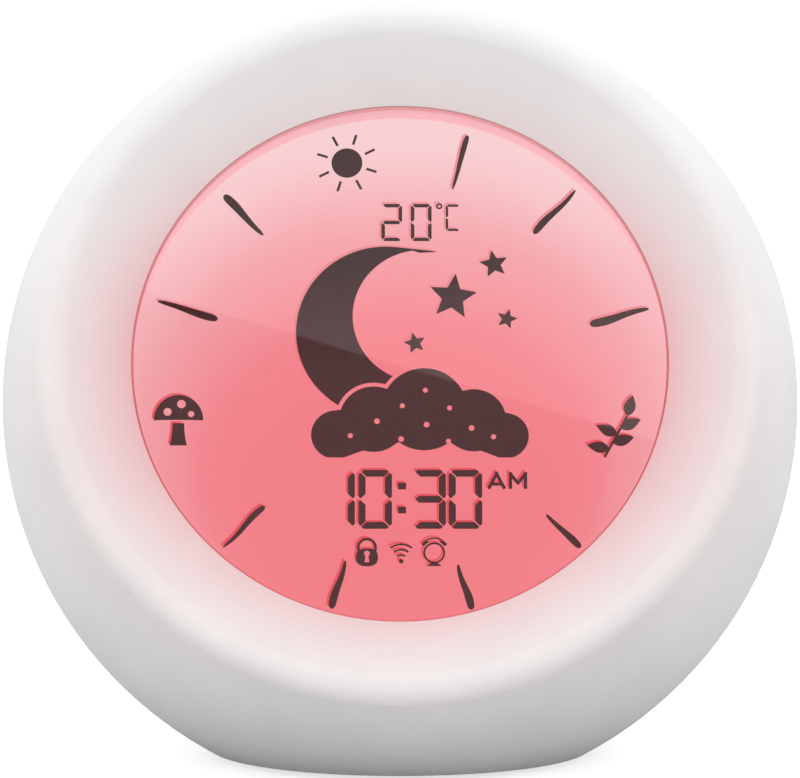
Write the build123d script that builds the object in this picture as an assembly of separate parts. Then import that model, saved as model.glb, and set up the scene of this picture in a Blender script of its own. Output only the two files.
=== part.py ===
from build123d import *
import os
from math import asin, atan2, cos, degrees, hypot, radians, sin, sqrt

# Sleep trainer clock: a ball with a flat base, a flat back and a tilted dial in a funnel.
# Millimetres; +Z up, the dial faces -Y, the origin is the middle of the resting face.

# Housing
BODY_R = 70.0           # ball radius
WALL = 2.4              # moulded wall
BASE_CUT = 8.6          # cap cut off the ball by the flat base
BACK_DEPTH = 34.0       # flat back behind the ball centre
BACK_ROUND = 6.0        # rounding of the back's edge
PART_BACK = 8.0         # parting plane behind the ball centre
TONGUE_H = 2.5          # tongue of the rear shell inside the front shell
FIT_GAP = 0.15          # gap round moulded pieces that slip together
SEAT_GAP = 0.05         # gap under pieces that rest on a seat
HOLE_GAP = 0.05         # radial gap of a screw in its hole
MIN_ROUND = 0.2         # least rounding left inside a wall
OVERRUN = 5.0           # how far a cut runs past the faces it opens

# Rubber pad in the base
PAD_IN = 4.7            # pad inside the base's edge
PAD_T = 2.0
PAD_PROUD = 0.8         # part of the pad below the base
PAD_EDGE = 0.4          # chamfer of the pad's lower edge

# Funnel bezel round the dial
TILT = 22.0             # degrees the dial leans back
LIP_IN = 10.5           # bezel's ridge inside the ball's outline
LIP_ROUND = 3.6         # rounding of the ridge
BEZEL_W = 13.1          # ridge to opening, across the dial
BEZEL_SINK = 7.775      # ridge to opening, along the dial axis

# Window, its gasket and the collar that centres them
LENS_LIP = 0.7          # edge of the opening in front of the window
LENS_REST = 2.0         # window beyond the opening
LENS_T = 1.8
LENS_EDGE = 0.3         # chamfer of the window's front edge
GASKET_T = 0.5
COLLAR_WALL = 1.8
COLLAR_GRIP = 2.5       # collar behind the window

# Display: two panes with a contact ledge below, diffuser, lamps
DIAL_DEEP = 6.5         # display behind the window's front
GLASS_T = 1.1           # one pane
LEDGE_W = 40.0          # contact ledge below the panes
LEDGE_OUT = 3.4         # ledge beyond the pane's rim
DIFFUSER_GAP = 0.3
DIFFUSER_T = 3.0
LED_ROOM = 1.6          # air between lamps and diffuser
LED_H = 1.5
LED_L = 3.5
LED_W = 2.8
LED_COUNTS = (5, 10)
LED_RING_SHARES = (0.33, 0.74)          # ring radii, of the pane's radius
REFLECTOR_T = 0.4
ZEBRA_END = 2.0         # strip inside the ledge's ends
ZEBRA_W = 2.0

# Display frame with three ears
FRAME_WALL = 3.2
CHIN_WALL = 2.4         # wall round the contact ledge
EAR_REACH = 3.6         # ear centre beyond the frame
EAR_R = 3.2
EAR_T = 3.0
EAR_ANGLES = (90, 210, 330)

# Main board and what it carries, placed by shares of the pane's radius
BOARD_T = 1.6
BOARD_SCREW_ANGLES = (45, 135, 225, 315)
CHIP_SIDE = 14.0
CHIP_T = 1.6
CHIP_SHARES = (-0.30, -0.12)
RADIO_SIZE = (18.0, 25.0)
RADIO_T = 0.8
RADIO_CAN = (15.4, 17.0)
RADIO_CAN_T = 2.4
RADIO_CAN_UP = -2.5     # can below the module's middle
RADIO_SHARES = (0.40, -0.08)
SOCKET_SIZE = (9.0, 5.0)
SOCKET_T = 5.0
SOCKET_SHARES = ((-0.50, 0.46), (0.50, 0.46), (-0.54, -0.50))
CAN_R = 4.0             # round capacitors
CAN_H = 9.0
CAN_SHARES = ((-0.06, -0.58), (0.20, -0.58))

# Screws: radius and length of the shank, radius and height of the head
LARGE_SCREW = (1.25, 14.0, 2.6, 2.0)
MEDIUM_SCREW = (1.15, 9.0, 2.2, 1.5)
SMALL_SCREW = (0.8, 6.0, 1.6, 1.1)
PILOT_SPARE = 1.0       # pilot hole past the screw's tip

# Posts of the housing screws
POST_IN = 10.5          # inside the ball's outline
POST_ANGLE = 41.0       # above and below the middle, in degrees
FRONT_POST_R = 3.2
REAR_POST_WALL = 1.4
POST_FLOOR = 3.0        # rear post in front of the screw head
WELL_GAP = 0.3          # room round the screw head

# Keys in an arc near the top of the back, each on a push switch
KEY_NAMES = ("light", "sound", "alarm", "minus", "plus")
KEY_PITCH = 13.5        # along the arc
KEY_R = 4.5
KEY_GAP = 0.2
KEY_PROUD = 1.2
KEY_CROWN = 0.6
DISH_R = 14.0           # finger dish in the key's top
DISH_DEEP = 0.35
FLANGE_OUT = 1.2        # retaining flange beyond the key
FLANGE_T = 1.0
STEM_R = 1.5
STEM_L = 2.5
SWITCH_SIDE = 6.0
SWITCH_H = 3.5
PLUNGER_R = 1.7
PLUNGER_GAP = 0.1
PLUNGER_OUT = 1.5
PLUNGER_IN = 1.6
PLUNGER_BORE = 2.3

# Control board: an arch behind the keys, on four posts
ARCH_CLEAR = 1.2        # board to the housing's posts
ARCH_OUT = 9.5          # board outside the arc of the keys
ARCH_IN = 8.0           # board inside it
ARCH_POST_R = 2.4
ARCH_POST_PITCH = 11.0  # post beyond the last key, along the arc
ARCH_FOOT_DROP = 11.5   # lower posts below the ball centre
ARCH_FOOT_EDGE = 4.5    # board below the lower posts

# Child lock: slide switch and knob, on the arc of the keys
LOCK_TRAVEL = 4.0
LOCK_STEM = (2.6, 1.8)
LOCK_STEM_IN = 1.6
LOCK_SWITCH = (10.5, 5.0, 3.6)
LOCK_SLOT_DEEP = 2.0
LOCK_PAD = (6.4, 5.0, 1.6)
LOCK_PAD_ROUND = 0.7
LOCK_GROOVE = 0.6       # width and depth of the thumb grooves
LOCK_GROOVE_STEP = 1.5

# Power inlet in a recess, on the arc of the keys
USB_RECESS = (14.0, 8.4)
USB_RECESS_ROUND = 2.0
USB_DEEP = 5.0
USB_WALL = 1.6
USB_MOUTH = (9.0, 3.3)
USB_SHEET = 0.35
USB_HOLLOW = 5.0
USB_TONGUE = (6.6, 0.7)
USB_TONGUE_L = 4.2

# Temperature sensor and the air slots behind it
SENSOR_R = 1.3
SENSOR_H = 3.0
VENT_UP = 10.0          # above the lock
VENT_SIZE = (1.4, 7.0)
VENT_STEP = 3.2
VENT_COUNT = 4

# Loudspeaker
SPEAKER_R = 16.0
SPEAKER_SEAT = 2.0      # seat ring on the back wall
SPEAKER_SEAT_WALL = 2.2
SPEAKER_SHEET = 0.8
SPEAKER_DEEP = 9.0
SPEAKER_BACK_SHARE = 0.55
SPEAKER_EAR_OUT = 2.2
SPEAKER_EAR_R = 2.3
SPEAKER_EAR_ANGLES = (45, 135, 225, 315)
CONE_GAP = 0.3
CONE_T = 0.5
CONE_DEEP = 5.0
CAP_SHARE = 0.28        # dust cap, of the loudspeaker's radius
CAP_H = 1.8
MAGNET_SHARE = 0.52
MAGNET_H = 5.5
GRILLE_LEDGE = 1.6      # grille beyond the opening behind it
GRILLE_T = 1.2
GRILLE_EDGE = 0.25
PERF_R = 1.0
PERF_EDGE = 0.8
PERF_RINGS = 4

# Coin cell, its tray and the door
CELL_R = 10.0
CELL_T = 3.2
CELL_GAP = 0.4
CELL_EDGE = 0.4
CELL_ROOM = 0.4         # air between cell and door
NOTCH_R = 4.5           # finger notch beside the cell
CONTACT_ROOM = 1.3      # spring contact under the cell
CONTACT_T = 0.3
CONTACT_W = 5.0
CONTACT_L = 13.0
CLIP_W = 6.0            # side contact
CLIP_NOTCH = 0.6
TRAY_SHEET = 1.4
TRAY_SIDE = 4.0         # flange beside the door
TRAY_EDGE = 1.5         # flange above and below the door
TRAY_IN = 1.5           # flange's lower corners inside the flat of the back
STAKE_R = 1.1           # heat stakes that hold the tray
STAKE_OUT = 0.9
STAKE_IN = 5.0          # stakes inside the door's height
DOOR_LAP = 3.6          # door beyond the cell
DOOR_T = 2.2
DOOR_SINK = 0.1         # door below the back
DOOR_GAP = 0.3
DOOR_GROOVE = 0.7       # thumb grooves
DOOR_GROOVE_W = 12.0
DOOR_GROOVE_STEP = 1.9
DOOR_GROOVE_COUNT = 4
PIN_R = 0.6
PIN_L = 1.5

# Flat cable between the boards
LINK_W = 14.0
LINK_T = 0.6
LINK_SHARE = 0.6        # height on the main board, of the pane's radius
LINK_IN = 3.0           # inside the control board's inner edge
LINK_STUB = 5.0
LINK_BEND = 2.0

# Housing levels and radii
FLAT_R = sqrt((BODY_R - BACK_ROUND) ** 2 - (BACK_DEPTH - BACK_ROUND) ** 2)
CENTRE_UP = BODY_R - BASE_CUT + PAD_PROUD
PAD_R = sqrt(BODY_R**2 - (BODY_R - BASE_CUT) ** 2) - PAD_IN
LIP_R = BODY_R - LIP_IN
LIP_LEVEL = sqrt((BODY_R - LIP_ROUND) ** 2 - LIP_R**2)
DIAL_R = LIP_R - BEZEL_W
DIAL_OUT = LIP_LEVEL + LIP_ROUND - BEZEL_SINK
POST_OUT = BODY_R - POST_IN
POST_AT = (POST_OUT * cos(radians(POST_ANGLE)), POST_OUT * sin(radians(POST_ANGLE)))

# Levels along the dial axis, from the ball centre towards the viewer
LENS_R = DIAL_R + LENS_REST
LENS_FRONT = DIAL_OUT - LENS_LIP
LENS_BACK = LENS_FRONT - LENS_T
GASKET_BACK = LENS_BACK - GASKET_T
COLLAR_BACK = LENS_BACK - COLLAR_GRIP
SHOULDER = COLLAR_BACK - FIT_GAP
LCD_FRONT = LENS_FRONT - DIAL_DEEP
LCD_BACK = LCD_FRONT - SEAT_GAP - 2 * GLASS_T
DIFFUSER_FRONT = LCD_BACK - DIFFUSER_GAP
DIFFUSER_BACK = DIFFUSER_FRONT - DIFFUSER_T
BOARD_FRONT = DIFFUSER_BACK - LED_ROOM - LED_H
BOARD_BACK = BOARD_FRONT - BOARD_T
POCKET_R = LENS_R + FIT_GAP
FRAME_R = POCKET_R + FRAME_WALL
EAR_AT = FRAME_R + EAR_REACH
BOARD_SCREW_AT = (POCKET_R + FRAME_R) / 2

# Levels along the rear axis, from the ball centre towards the back
BACK_IN = BACK_DEPTH - WALL
FLANGE_HIGH = BACK_IN - SEAT_GAP
FLANGE_LOW = FLANGE_HIGH - FLANGE_T
PLUNGER_TOP = FLANGE_LOW - STEM_L
SWITCH_TOP = PLUNGER_TOP - PLUNGER_OUT
ARCH_BACK = SWITCH_TOP - SWITCH_H
ARCH_FRONT = ARCH_BACK - BOARD_T
USB_FLOOR = BACK_DEPTH - USB_DEEP
SPEAKER_FRONT = BACK_IN - SPEAKER_SEAT
SPEAKER_BACK = SPEAKER_FRONT - SPEAKER_DEEP
DOOR_HIGH = BACK_DEPTH - DOOR_SINK
DOOR_AXIS = DOOR_HIGH - DOOR_T / 2
CELL_HIGH = BACK_IN - CELL_ROOM
CELL_LOW = CELL_HIGH - CELL_T
WELL_FLOOR = CELL_LOW - CONTACT_ROOM
SCREW_SEAT = PART_BACK + POST_FLOOR

# Places and radii in the back
SCREW_WELL_R = LARGE_SCREW[2] + WELL_GAP
REAR_POST_R = SCREW_WELL_R + REAR_POST_WALL
KEY_ARC_R = POST_OUT - REAR_POST_R - ARCH_CLEAR - ARCH_OUT
FLANGE_R = KEY_R + FLANGE_OUT
SPEAKER_EAR_AT = SPEAKER_R + SPEAKER_EAR_OUT
SOUND_R = SPEAKER_R - SPEAKER_SEAT_WALL
GRILLE_R = SOUND_R + GRILLE_LEDGE
PERF_STEP = (SOUND_R - PERF_EDGE - PERF_R) / PERF_RINGS
CELL_WELL_R = CELL_R + CELL_GAP
DOOR_SIDE = 2 * CELL_WELL_R + 2 * DOOR_LAP
TRAY_W = DOOR_SIDE + 2 * DOOR_GAP + 2 * TRAY_SIDE
TRAY_H = DOOR_SIDE + 2 * DOOR_GAP + 2 * TRAY_EDGE
DOOR_UP = TRAY_H / 2 - sqrt((FLAT_R - TRAY_IN) ** 2 - (TRAY_W / 2) ** 2)
DOOR_HINGE_UP = DOOR_UP - DOOR_SIDE / 2 + DOOR_T / 2
SPEAKER_UP = (KEY_ARC_R - FLANGE_R + DOOR_UP + TRAY_H / 2) / 2

# Frames: the dial's (z to the viewer, y up the dial) and the back's (z to the back, x to the
# right as seen from behind), both from the ball centre
CENTRE = (0, 0, CENTRE_UP)
DIAL = Plane(CENTRE, x_dir=(1, 0, 0), z_dir=(0, -cos(radians(TILT)), sin(radians(TILT))))
REAR = Plane(CENTRE, x_dir=(-1, 0, 0), z_dir=(0, 1, 0))
ON_FLOOR = (Align.CENTER, Align.CENTER, Align.MIN)


def disc(radius, low, high):
    """Round plate between two levels."""
    return Pos(0, 0, low) * Cylinder(radius, high - low, align=ON_FLOOR)


def ring(outer, inner, low, high):
    """Tube between two levels."""
    return disc(outer, low, high) - disc(inner, low, high)


def slab(size, low, high):
    """Rectangular plate between two levels."""
    return Pos(0, 0, low) * Box(size[0], size[1], high - low, align=ON_FLOOR)


def grown(size, gap):
    """Width and height of a plate with a gap on every side."""
    return (size[0] + 2 * gap, size[1] + 2 * gap)


def turned(*edges):
    """Solid turned about the level axis from an outline of radius and level."""
    return revolve(make_face(edges), axis=Axis.Z)


def line(start, end):
    """Straight edge of a turned outline."""
    return Line((start[0], 0, start[1]), (end[0], 0, end[1]))


def arc(centre, radius, start, end):
    """Round edge of a turned outline between two angles in radians."""
    points = []
    for angle in (start, (start + end) / 2, end):
        points.append((centre[0] + radius * cos(angle), 0, centre[1] + radius * sin(angle)))
    return ThreePointArc(*points)


def tip(edge):
    """Radius and level of an edge's end."""
    end = edge @ 1
    return (end.X, end.Z)


def root(edge):
    """Radius and level of an edge's start."""
    start = edge @ 0
    return (start.X, start.Z)


def around(radius, angles, piece):
    """Copies of a piece at a radius and at each of the angles."""
    return [Rot(0, 0, angle) * Pos(radius, 0, 0) * piece for angle in angles]


def together(pieces):
    """Group of separate solids as one shape."""
    return Compound(children=[piece.solid() for piece in pieces])


def screw(size, seat):
    """Round-headed screw, head below its seat, shank up from it."""
    shank_r, shank_l, head_r, head_h = size
    head = disc(head_r, seat - head_h, seat)
    head = chamfer(head.edges().group_by(Axis.Z)[0], head_h / 3)
    return head + disc(shank_r, seat, seat + shank_l)


def pilot(size, seat):
    """Hole for a screw's shank, with room past its tip."""
    return disc(size[0] + HOLE_GAP, seat - OVERRUN, seat + size[1] + PILOT_SPARE)


def ball(inset):
    """Housing outline moved in by a wall: ball, rounded flat back and flat base."""
    radius = BODY_R - inset
    back = BACK_DEPTH - inset
    rounding = max(BACK_ROUND - inset, MIN_ROUND)
    level = back - rounding
    out = sqrt((radius - rounding) ** 2 - level**2)
    angle = atan2(level, out)
    edge = arc((0, 0), radius, radians(-90), angle)
    corner = arc((out, level), rounding, angle, radians(90))
    solid = turned(edge, corner, line((out, back), (0, back)), line((0, back), (0, -radius)))
    below = Box(2 * BODY_R, BODY_R, 4 * BODY_R, align=(Align.CENTER, Align.MAX, Align.CENTER))
    return solid - Pos(0, BASE_CUT + inset - BODY_R, 0) * below


def ahead(inset):
    """Space in front of the bezel, moved in by a wall: flat dial, cone and rounded ridge."""
    run = (LIP_R - DIAL_R, LIP_LEVEL - DIAL_OUT)
    slope = atan2(run[1], run[0]) + asin(LIP_ROUND / hypot(*run))
    rounding = max(LIP_ROUND - inset, MIN_ROUND)
    dial = (DIAL_R + inset * sin(slope), DIAL_OUT - inset * cos(slope))
    ridge = arc((LIP_R, LIP_LEVEL), rounding, slope + radians(90), atan2(LIP_LEVEL, LIP_R))
    far = 2 * BODY_R
    rim = tip(ridge)
    out = (rim[0] * far / hypot(*rim), rim[1] * far / hypot(*rim))
    return turned(
        line((0, dial[1]), dial),
        line(dial, root(ridge)),
        ridge,
        line(rim, out),
        line(out, (out[0], far)),
        line((out[0], far), (0, far)),
        line((0, far), (0, dial[1])),
    )


def housing(inset):
    """Whole housing as one solid, moved in by a wall."""
    return REAR * ball(inset) - DIAL * ahead(inset)


def post_places():
    """Middles of the four housing posts in the rear frame."""
    return [(x * POST_AT[0], y * POST_AT[1]) for x in (-1, 1) for y in (-1, 1)]


def front_shell(shell, core):
    """Front half: funnel bezel, window collar, screw posts and the groove of the parting."""
    front = slab((4 * BODY_R, 4 * BODY_R), -2 * BODY_R, PART_BACK)
    groove = slab((4 * BODY_R, 4 * BODY_R), PART_BACK - TONGUE_H - FIT_GAP, PART_BACK)
    body = shell & REAR * front
    body -= REAR * (ball(WALL / 2) & groove)
    collar = ring(POCKET_R + COLLAR_WALL, POCKET_R, COLLAR_BACK, DIAL_OUT + WALL)
    body += core & DIAL * collar
    for boss in around(EAR_AT, EAR_ANGLES, disc(EAR_R, SHOULDER, BODY_R)):
        body += core & DIAL * boss
    for hole in around(EAR_AT, EAR_ANGLES, pilot(MEDIUM_SCREW, SHOULDER - EAR_T)):
        body -= DIAL * hole
    for place in post_places():
        body += core & REAR * Pos(*place) * disc(FRONT_POST_R, -BODY_R, PART_BACK)
        depth = SCREW_SEAT - LARGE_SCREW[1] - PILOT_SPARE
        body -= REAR * Pos(*place) * disc(LARGE_SCREW[0] + HOLE_GAP, depth, PART_BACK)
    body -= DIAL * disc(POCKET_R, LCD_FRONT, LENS_FRONT)
    body -= DIAL * disc(DIAL_R, LCD_FRONT, DIAL_OUT + OVERRUN)
    return body - pad_recess()


def rear_shell(shell, core):
    """Back half: tongue, screw posts and the openings of everything in the back."""
    back = slab((4 * BODY_R, 4 * BODY_R), PART_BACK, 2 * BODY_R)
    lap = slab((4 * BODY_R, 4 * BODY_R), PART_BACK - TONGUE_H, PART_BACK + TONGUE_H)
    body = shell & REAR * back
    body += REAR * ((ball(WALL / 2 + FIT_GAP) - ball(WALL)) & lap)
    post = disc(REAR_POST_R, PART_BACK + SEAT_GAP, BACK_DEPTH)
    for place in post_places():
        body += core & REAR * Pos(*place) * post
    inside = []
    for place in arch_places():
        inside.append(Pos(*place) * disc(ARCH_POST_R, ARCH_BACK, BACK_IN))
    inside.append(Pos(KEY_ARC_R, 0, 0) * slab(grown(USB_RECESS, USB_WALL), USB_FLOOR - USB_WALL, BACK_IN))
    seat = ring(SPEAKER_R, SPEAKER_R - SPEAKER_SEAT_WALL, SPEAKER_FRONT, BACK_IN)
    ears = around(SPEAKER_EAR_AT, SPEAKER_EAR_ANGLES, disc(SPEAKER_EAR_R, SPEAKER_FRONT, BACK_IN))
    inside += [Pos(0, SPEAKER_UP, 0) * piece for piece in [seat, *ears]]
    for place in stake_places():
        inside.append(Pos(*place) * disc(STAKE_R, BACK_IN - TRAY_SHEET - STAKE_OUT, BACK_IN))
    for piece in inside:
        body += REAR * piece
    for hole in rear_openings():
        body -= REAR * hole
    return body - pad_recess()


def rear_openings():
    """Everything cut from the rear shell, in the rear frame."""
    out = BACK_DEPTH + OVERRUN
    cuts = around(KEY_ARC_R, key_angles(), disc(KEY_R + KEY_GAP, FLANGE_LOW, out))
    for place in post_places():
        cuts.append(Pos(*place) * disc(SCREW_WELL_R, SCREW_SEAT, out))
        cuts.append(Pos(*place) * disc(LARGE_SCREW[0] + HOLE_GAP, PART_BACK - OVERRUN, out))
    length = SMALL_SCREW[1] - BOARD_T + PILOT_SPARE
    for place in arch_places():
        cuts.append(Pos(*place) * disc(SMALL_SCREW[0] + HOLE_GAP, ARCH_BACK, ARCH_BACK + length))
    recess = extrude(RectangleRounded(*USB_RECESS, USB_RECESS_ROUND), USB_DEEP + OVERRUN)
    cuts.append(Pos(KEY_ARC_R, 0, USB_FLOOR) * recess)
    mouth = grown(USB_MOUTH, FIT_GAP)
    cuts.append(Pos(KEY_ARC_R, 0, USB_FLOOR - OVERRUN) * extrude(SlotOverall(*mouth), OVERRUN))
    slot = (LOCK_STEM[0] + LOCK_TRAVEL, LOCK_STEM[1])
    cuts.append(Pos(-KEY_ARC_R, 0, 0) * slab(grown(slot, FIT_GAP), FLANGE_LOW, out))
    for index in range(VENT_COUNT):
        x = VENT_STEP * (index - (VENT_COUNT - 1) / 2) - KEY_ARC_R
        cuts.append(Pos(x, VENT_UP, 0) * slab(VENT_SIZE, FLANGE_LOW, out))
    speaker = [
        disc(GRILLE_R + FIT_GAP, BACK_DEPTH - GRILLE_T, out),
        disc(SOUND_R, FLANGE_LOW, out),
    ]
    speaker += around(SPEAKER_EAR_AT, SPEAKER_EAR_ANGLES, speaker_pilot())
    cuts += [Pos(0, SPEAKER_UP, 0) * piece for piece in speaker]
    cuts.append(Pos(0, DOOR_UP, 0) * slab(grown((DOOR_SIDE, DOOR_SIDE), DOOR_GAP), FLANGE_LOW, out))
    notch = (DOOR_SIDE + 2 * DOOR_GAP + 2 * PIN_L, 2 * PIN_R + 2 * FIT_GAP)
    cuts.append(Pos(0, DOOR_HINGE_UP, 0) * slab(notch, BACK_IN, DOOR_AXIS + PIN_R + FIT_GAP))
    return cuts


def pad_recess():
    """Shallow round recess in the base for the pad."""
    return disc(PAD_R + FIT_GAP, -OVERRUN, PAD_T)


def base_pad():
    """Rubber disc the clock stands on."""
    pad = disc(PAD_R, 0, PAD_T)
    return chamfer(pad.edges().group_by(Axis.Z)[0], PAD_EDGE)


def housing_screws():
    """Four screws from the back into the front shell's posts."""
    one = Pos(0, 0, SCREW_SEAT) * Rot(180, 0, 0) * screw(LARGE_SCREW, 0)
    return together([REAR * Pos(*place) * one for place in post_places()])


def dial_lens():
    """Clear window, pressed against the opening's edge from behind."""
    lens = disc(LENS_R, LENS_BACK, LENS_FRONT)
    return DIAL * chamfer(lens.edges().group_by(Axis.Z)[-1], LENS_EDGE)


def lens_gasket():
    """Thin ring between window and display frame."""
    return DIAL * ring(LENS_R - FIT_GAP, DIAL_R, GASKET_BACK, LENS_BACK)


def chin(gap, low, high):
    """Block below the dial axis that takes the contact ledge, with a gap round it."""
    width = LEDGE_W + 2 * gap
    drop = LENS_R + LEDGE_OUT + gap
    block = Box(width, drop, high - low, align=(Align.CENTER, Align.MAX, Align.MIN))
    return Pos(0, 0, low) * block


def display_frame():
    """Holder that clamps the window, seats the panes and carries the board."""
    body = disc(FRAME_R, BOARD_FRONT, SHOULDER)
    body += chin(FIT_GAP + CHIN_WALL, BOARD_FRONT, SHOULDER)
    body += disc(LENS_R - FIT_GAP, SHOULDER, GASKET_BACK)
    ear = disc(EAR_R, SHOULDER - EAR_T, SHOULDER)
    arm = slab((2 * EAR_REACH + EAR_R, 2 * EAR_R), SHOULDER - EAR_T, SHOULDER)
    arm = Pos(-EAR_REACH - EAR_R / 2, 0, 0) * arm
    for piece in around(EAR_AT, EAR_ANGLES, ear + arm):
        body += piece
    body -= disc(DIAL_R, BOARD_FRONT, GASKET_BACK + OVERRUN)
    body -= disc(POCKET_R, BOARD_FRONT - OVERRUN, LCD_FRONT)
    body -= chin(FIT_GAP, BOARD_FRONT - OVERRUN, LCD_BACK + GLASS_T + FIT_GAP)
    for hole in around(EAR_AT, EAR_ANGLES, pilot(MEDIUM_SCREW, SHOULDER - EAR_T)):
        body -= hole
    for hole in around(BOARD_SCREW_AT, BOARD_SCREW_ANGLES, pilot(SMALL_SCREW, BOARD_BACK)):
        body -= hole
    return DIAL * body


def lcd_panel():
    """Two round panes; the rear one reaches out below as the contact ledge."""
    panes = disc(LENS_R, LCD_BACK, LCD_FRONT - SEAT_GAP)
    return DIAL * (panes + chin(0, LCD_BACK, LCD_BACK + GLASS_T))


def diffuser():
    """Milky plate behind the panes."""
    return DIAL * disc(LENS_R, DIFFUSER_BACK, DIFFUSER_FRONT)


def on_lamps(piece):
    """Copies of a piece at every lamp."""
    copies = []
    for count, share in zip(LED_COUNTS, LED_RING_SHARES):
        copies += around(LENS_R * share, [index * 360 / count for index in range(count)], piece)
    return copies


def reflector_sheet():
    """White sheet on the board with a window for each lamp."""
    sheet = disc(LENS_R, BOARD_FRONT, BOARD_FRONT + REFLECTOR_T)
    for hole in on_lamps(slab(grown((LED_L, LED_W), FIT_GAP), BOARD_FRONT, LCD_BACK)):
        sheet -= hole
    return DIAL * sheet


def backlight_leds():
    """Lamps on the front of the main board."""
    lamp = slab((LED_L, LED_W), BOARD_FRONT, BOARD_FRONT + LED_H)
    return together([DIAL * piece for piece in on_lamps(lamp)])


def zebra_strip():
    """Rubber strip from the contact ledge to the board."""
    strip = slab((LEDGE_W - 2 * ZEBRA_END, ZEBRA_W), BOARD_FRONT, LCD_BACK)
    return DIAL * Pos(0, -LENS_R - LEDGE_OUT / 2, 0) * strip


def main_board():
    """Round board with a chin, screwed to the display frame."""
    board = disc(FRAME_R, BOARD_BACK, BOARD_FRONT)
    board += chin(FIT_GAP + CHIN_WALL, BOARD_BACK, BOARD_FRONT)
    for hole in around(BOARD_SCREW_AT, BOARD_SCREW_ANGLES, pilot(SMALL_SCREW, BOARD_BACK)):
        board -= hole
    return DIAL * board


def on_board(shares):
    """Place on the main board from shares of the pane's radius."""
    return Pos(LENS_R * shares[0], LENS_R * shares[1], 0)


def controller_chip():
    """Clock controller on the back of the board."""
    chip = slab((CHIP_SIDE, CHIP_SIDE), BOARD_BACK - CHIP_T, BOARD_BACK)
    return DIAL * on_board(CHIP_SHARES) * chip


def radio_module():
    """Wireless module: carrier board with a shield can."""
    carrier = slab(RADIO_SIZE, BOARD_BACK - RADIO_T, BOARD_BACK)
    can = slab(RADIO_CAN, BOARD_BACK - RADIO_T - RADIO_CAN_T, BOARD_BACK - RADIO_T)
    return DIAL * on_board(RADIO_SHARES) * (carrier + Pos(0, RADIO_CAN_UP, 0) * can)


def board_parts():
    """Cable sockets and round capacitors on the back of the board."""
    socket = slab(SOCKET_SIZE, BOARD_BACK - SOCKET_T, BOARD_BACK)
    can = disc(CAN_R, BOARD_BACK - CAN_H, BOARD_BACK)
    pieces = [DIAL * on_board(shares) * socket for shares in SOCKET_SHARES]
    pieces += [DIAL * on_board(shares) * can for shares in CAN_SHARES]
    return together(pieces)


def frame_screws():
    """Three screws through the display frame's ears."""
    one = screw(MEDIUM_SCREW, SHOULDER - EAR_T)
    return together([DIAL * piece for piece in around(EAR_AT, EAR_ANGLES, one)])


def board_screws():
    """Four screws through the board into the display frame."""
    one = screw(SMALL_SCREW, BOARD_BACK)
    return together([DIAL * piece for piece in around(BOARD_SCREW_AT, BOARD_SCREW_ANGLES, one)])


def key_angles():
    """Angles of the keys from left to right, seen from behind."""
    middle = (len(KEY_NAMES) - 1) / 2
    step = degrees(KEY_PITCH / KEY_ARC_R)
    return [90 + step * (middle - index) for index in range(len(KEY_NAMES))]


def arch_places():
    """Middles of the control board's posts: beyond the outer keys and under inlet and lock."""
    angle = radians(key_angles()[-1]) - ARCH_POST_PITCH / KEY_ARC_R
    upper = (KEY_ARC_R * cos(angle), KEY_ARC_R * sin(angle))
    lower = (KEY_ARC_R, -ARCH_FOOT_DROP)
    return [(side * x, y) for side in (-1, 1) for x, y in (upper, lower)]


def key():
    """Key cap: dished crown, retaining flange and stem."""
    top = BACK_DEPTH + KEY_PROUD
    cap = disc(KEY_R, FLANGE_HIGH, top)
    cap = fillet(cap.edges().group_by(Axis.Z)[-1], KEY_CROWN)
    cap -= Pos(0, 0, top + DISH_R - DISH_DEEP) * Sphere(DISH_R)
    cap += disc(FLANGE_R, FLANGE_LOW, FLANGE_HIGH)
    return cap + disc(STEM_R, PLUNGER_TOP, FLANGE_LOW)


def plunger():
    """Plunger of a push switch."""
    return disc(PLUNGER_R, SWITCH_TOP - PLUNGER_IN, PLUNGER_TOP)


def switch_bodies():
    """Bodies of the push switches on the control board."""
    body = slab((SWITCH_SIDE, SWITCH_SIDE), ARCH_BACK, SWITCH_TOP)
    body -= disc(PLUNGER_R + PLUNGER_GAP, SWITCH_TOP - PLUNGER_BORE, SWITCH_TOP)
    return together([REAR * piece for piece in around(KEY_ARC_R, key_angles(), body)])


def control_board():
    """Arch-shaped board on four posts of the rear shell."""
    board = ring(KEY_ARC_R + ARCH_OUT, KEY_ARC_R - ARCH_IN, ARCH_FRONT, ARCH_BACK)
    below = Box(4 * BODY_R, 2 * BODY_R, 2 * BODY_R, align=(Align.CENTER, Align.MAX, Align.CENTER))
    board -= Pos(0, -ARCH_FOOT_DROP - ARCH_FOOT_EDGE, 0) * below
    for place in arch_places():
        board -= Pos(*place) * disc(SMALL_SCREW[0] + HOLE_GAP, ARCH_FRONT, ARCH_BACK)
    return REAR * board


def control_screws():
    """Four screws of the control board."""
    one = screw(SMALL_SCREW, ARCH_FRONT)
    return together([REAR * Pos(*place) * one for place in arch_places()])


def lock_switch():
    """Slide switch on the control board."""
    high = ARCH_BACK + LOCK_SWITCH[2]
    slot = (LOCK_STEM[0] + LOCK_TRAVEL, LOCK_STEM[1])
    body = slab(LOCK_SWITCH[:2], ARCH_BACK, high)
    body -= slab(grown(slot, FIT_GAP), high - LOCK_SLOT_DEEP, high)
    return REAR * Pos(-KEY_ARC_R, 0, 0) * body


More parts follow.
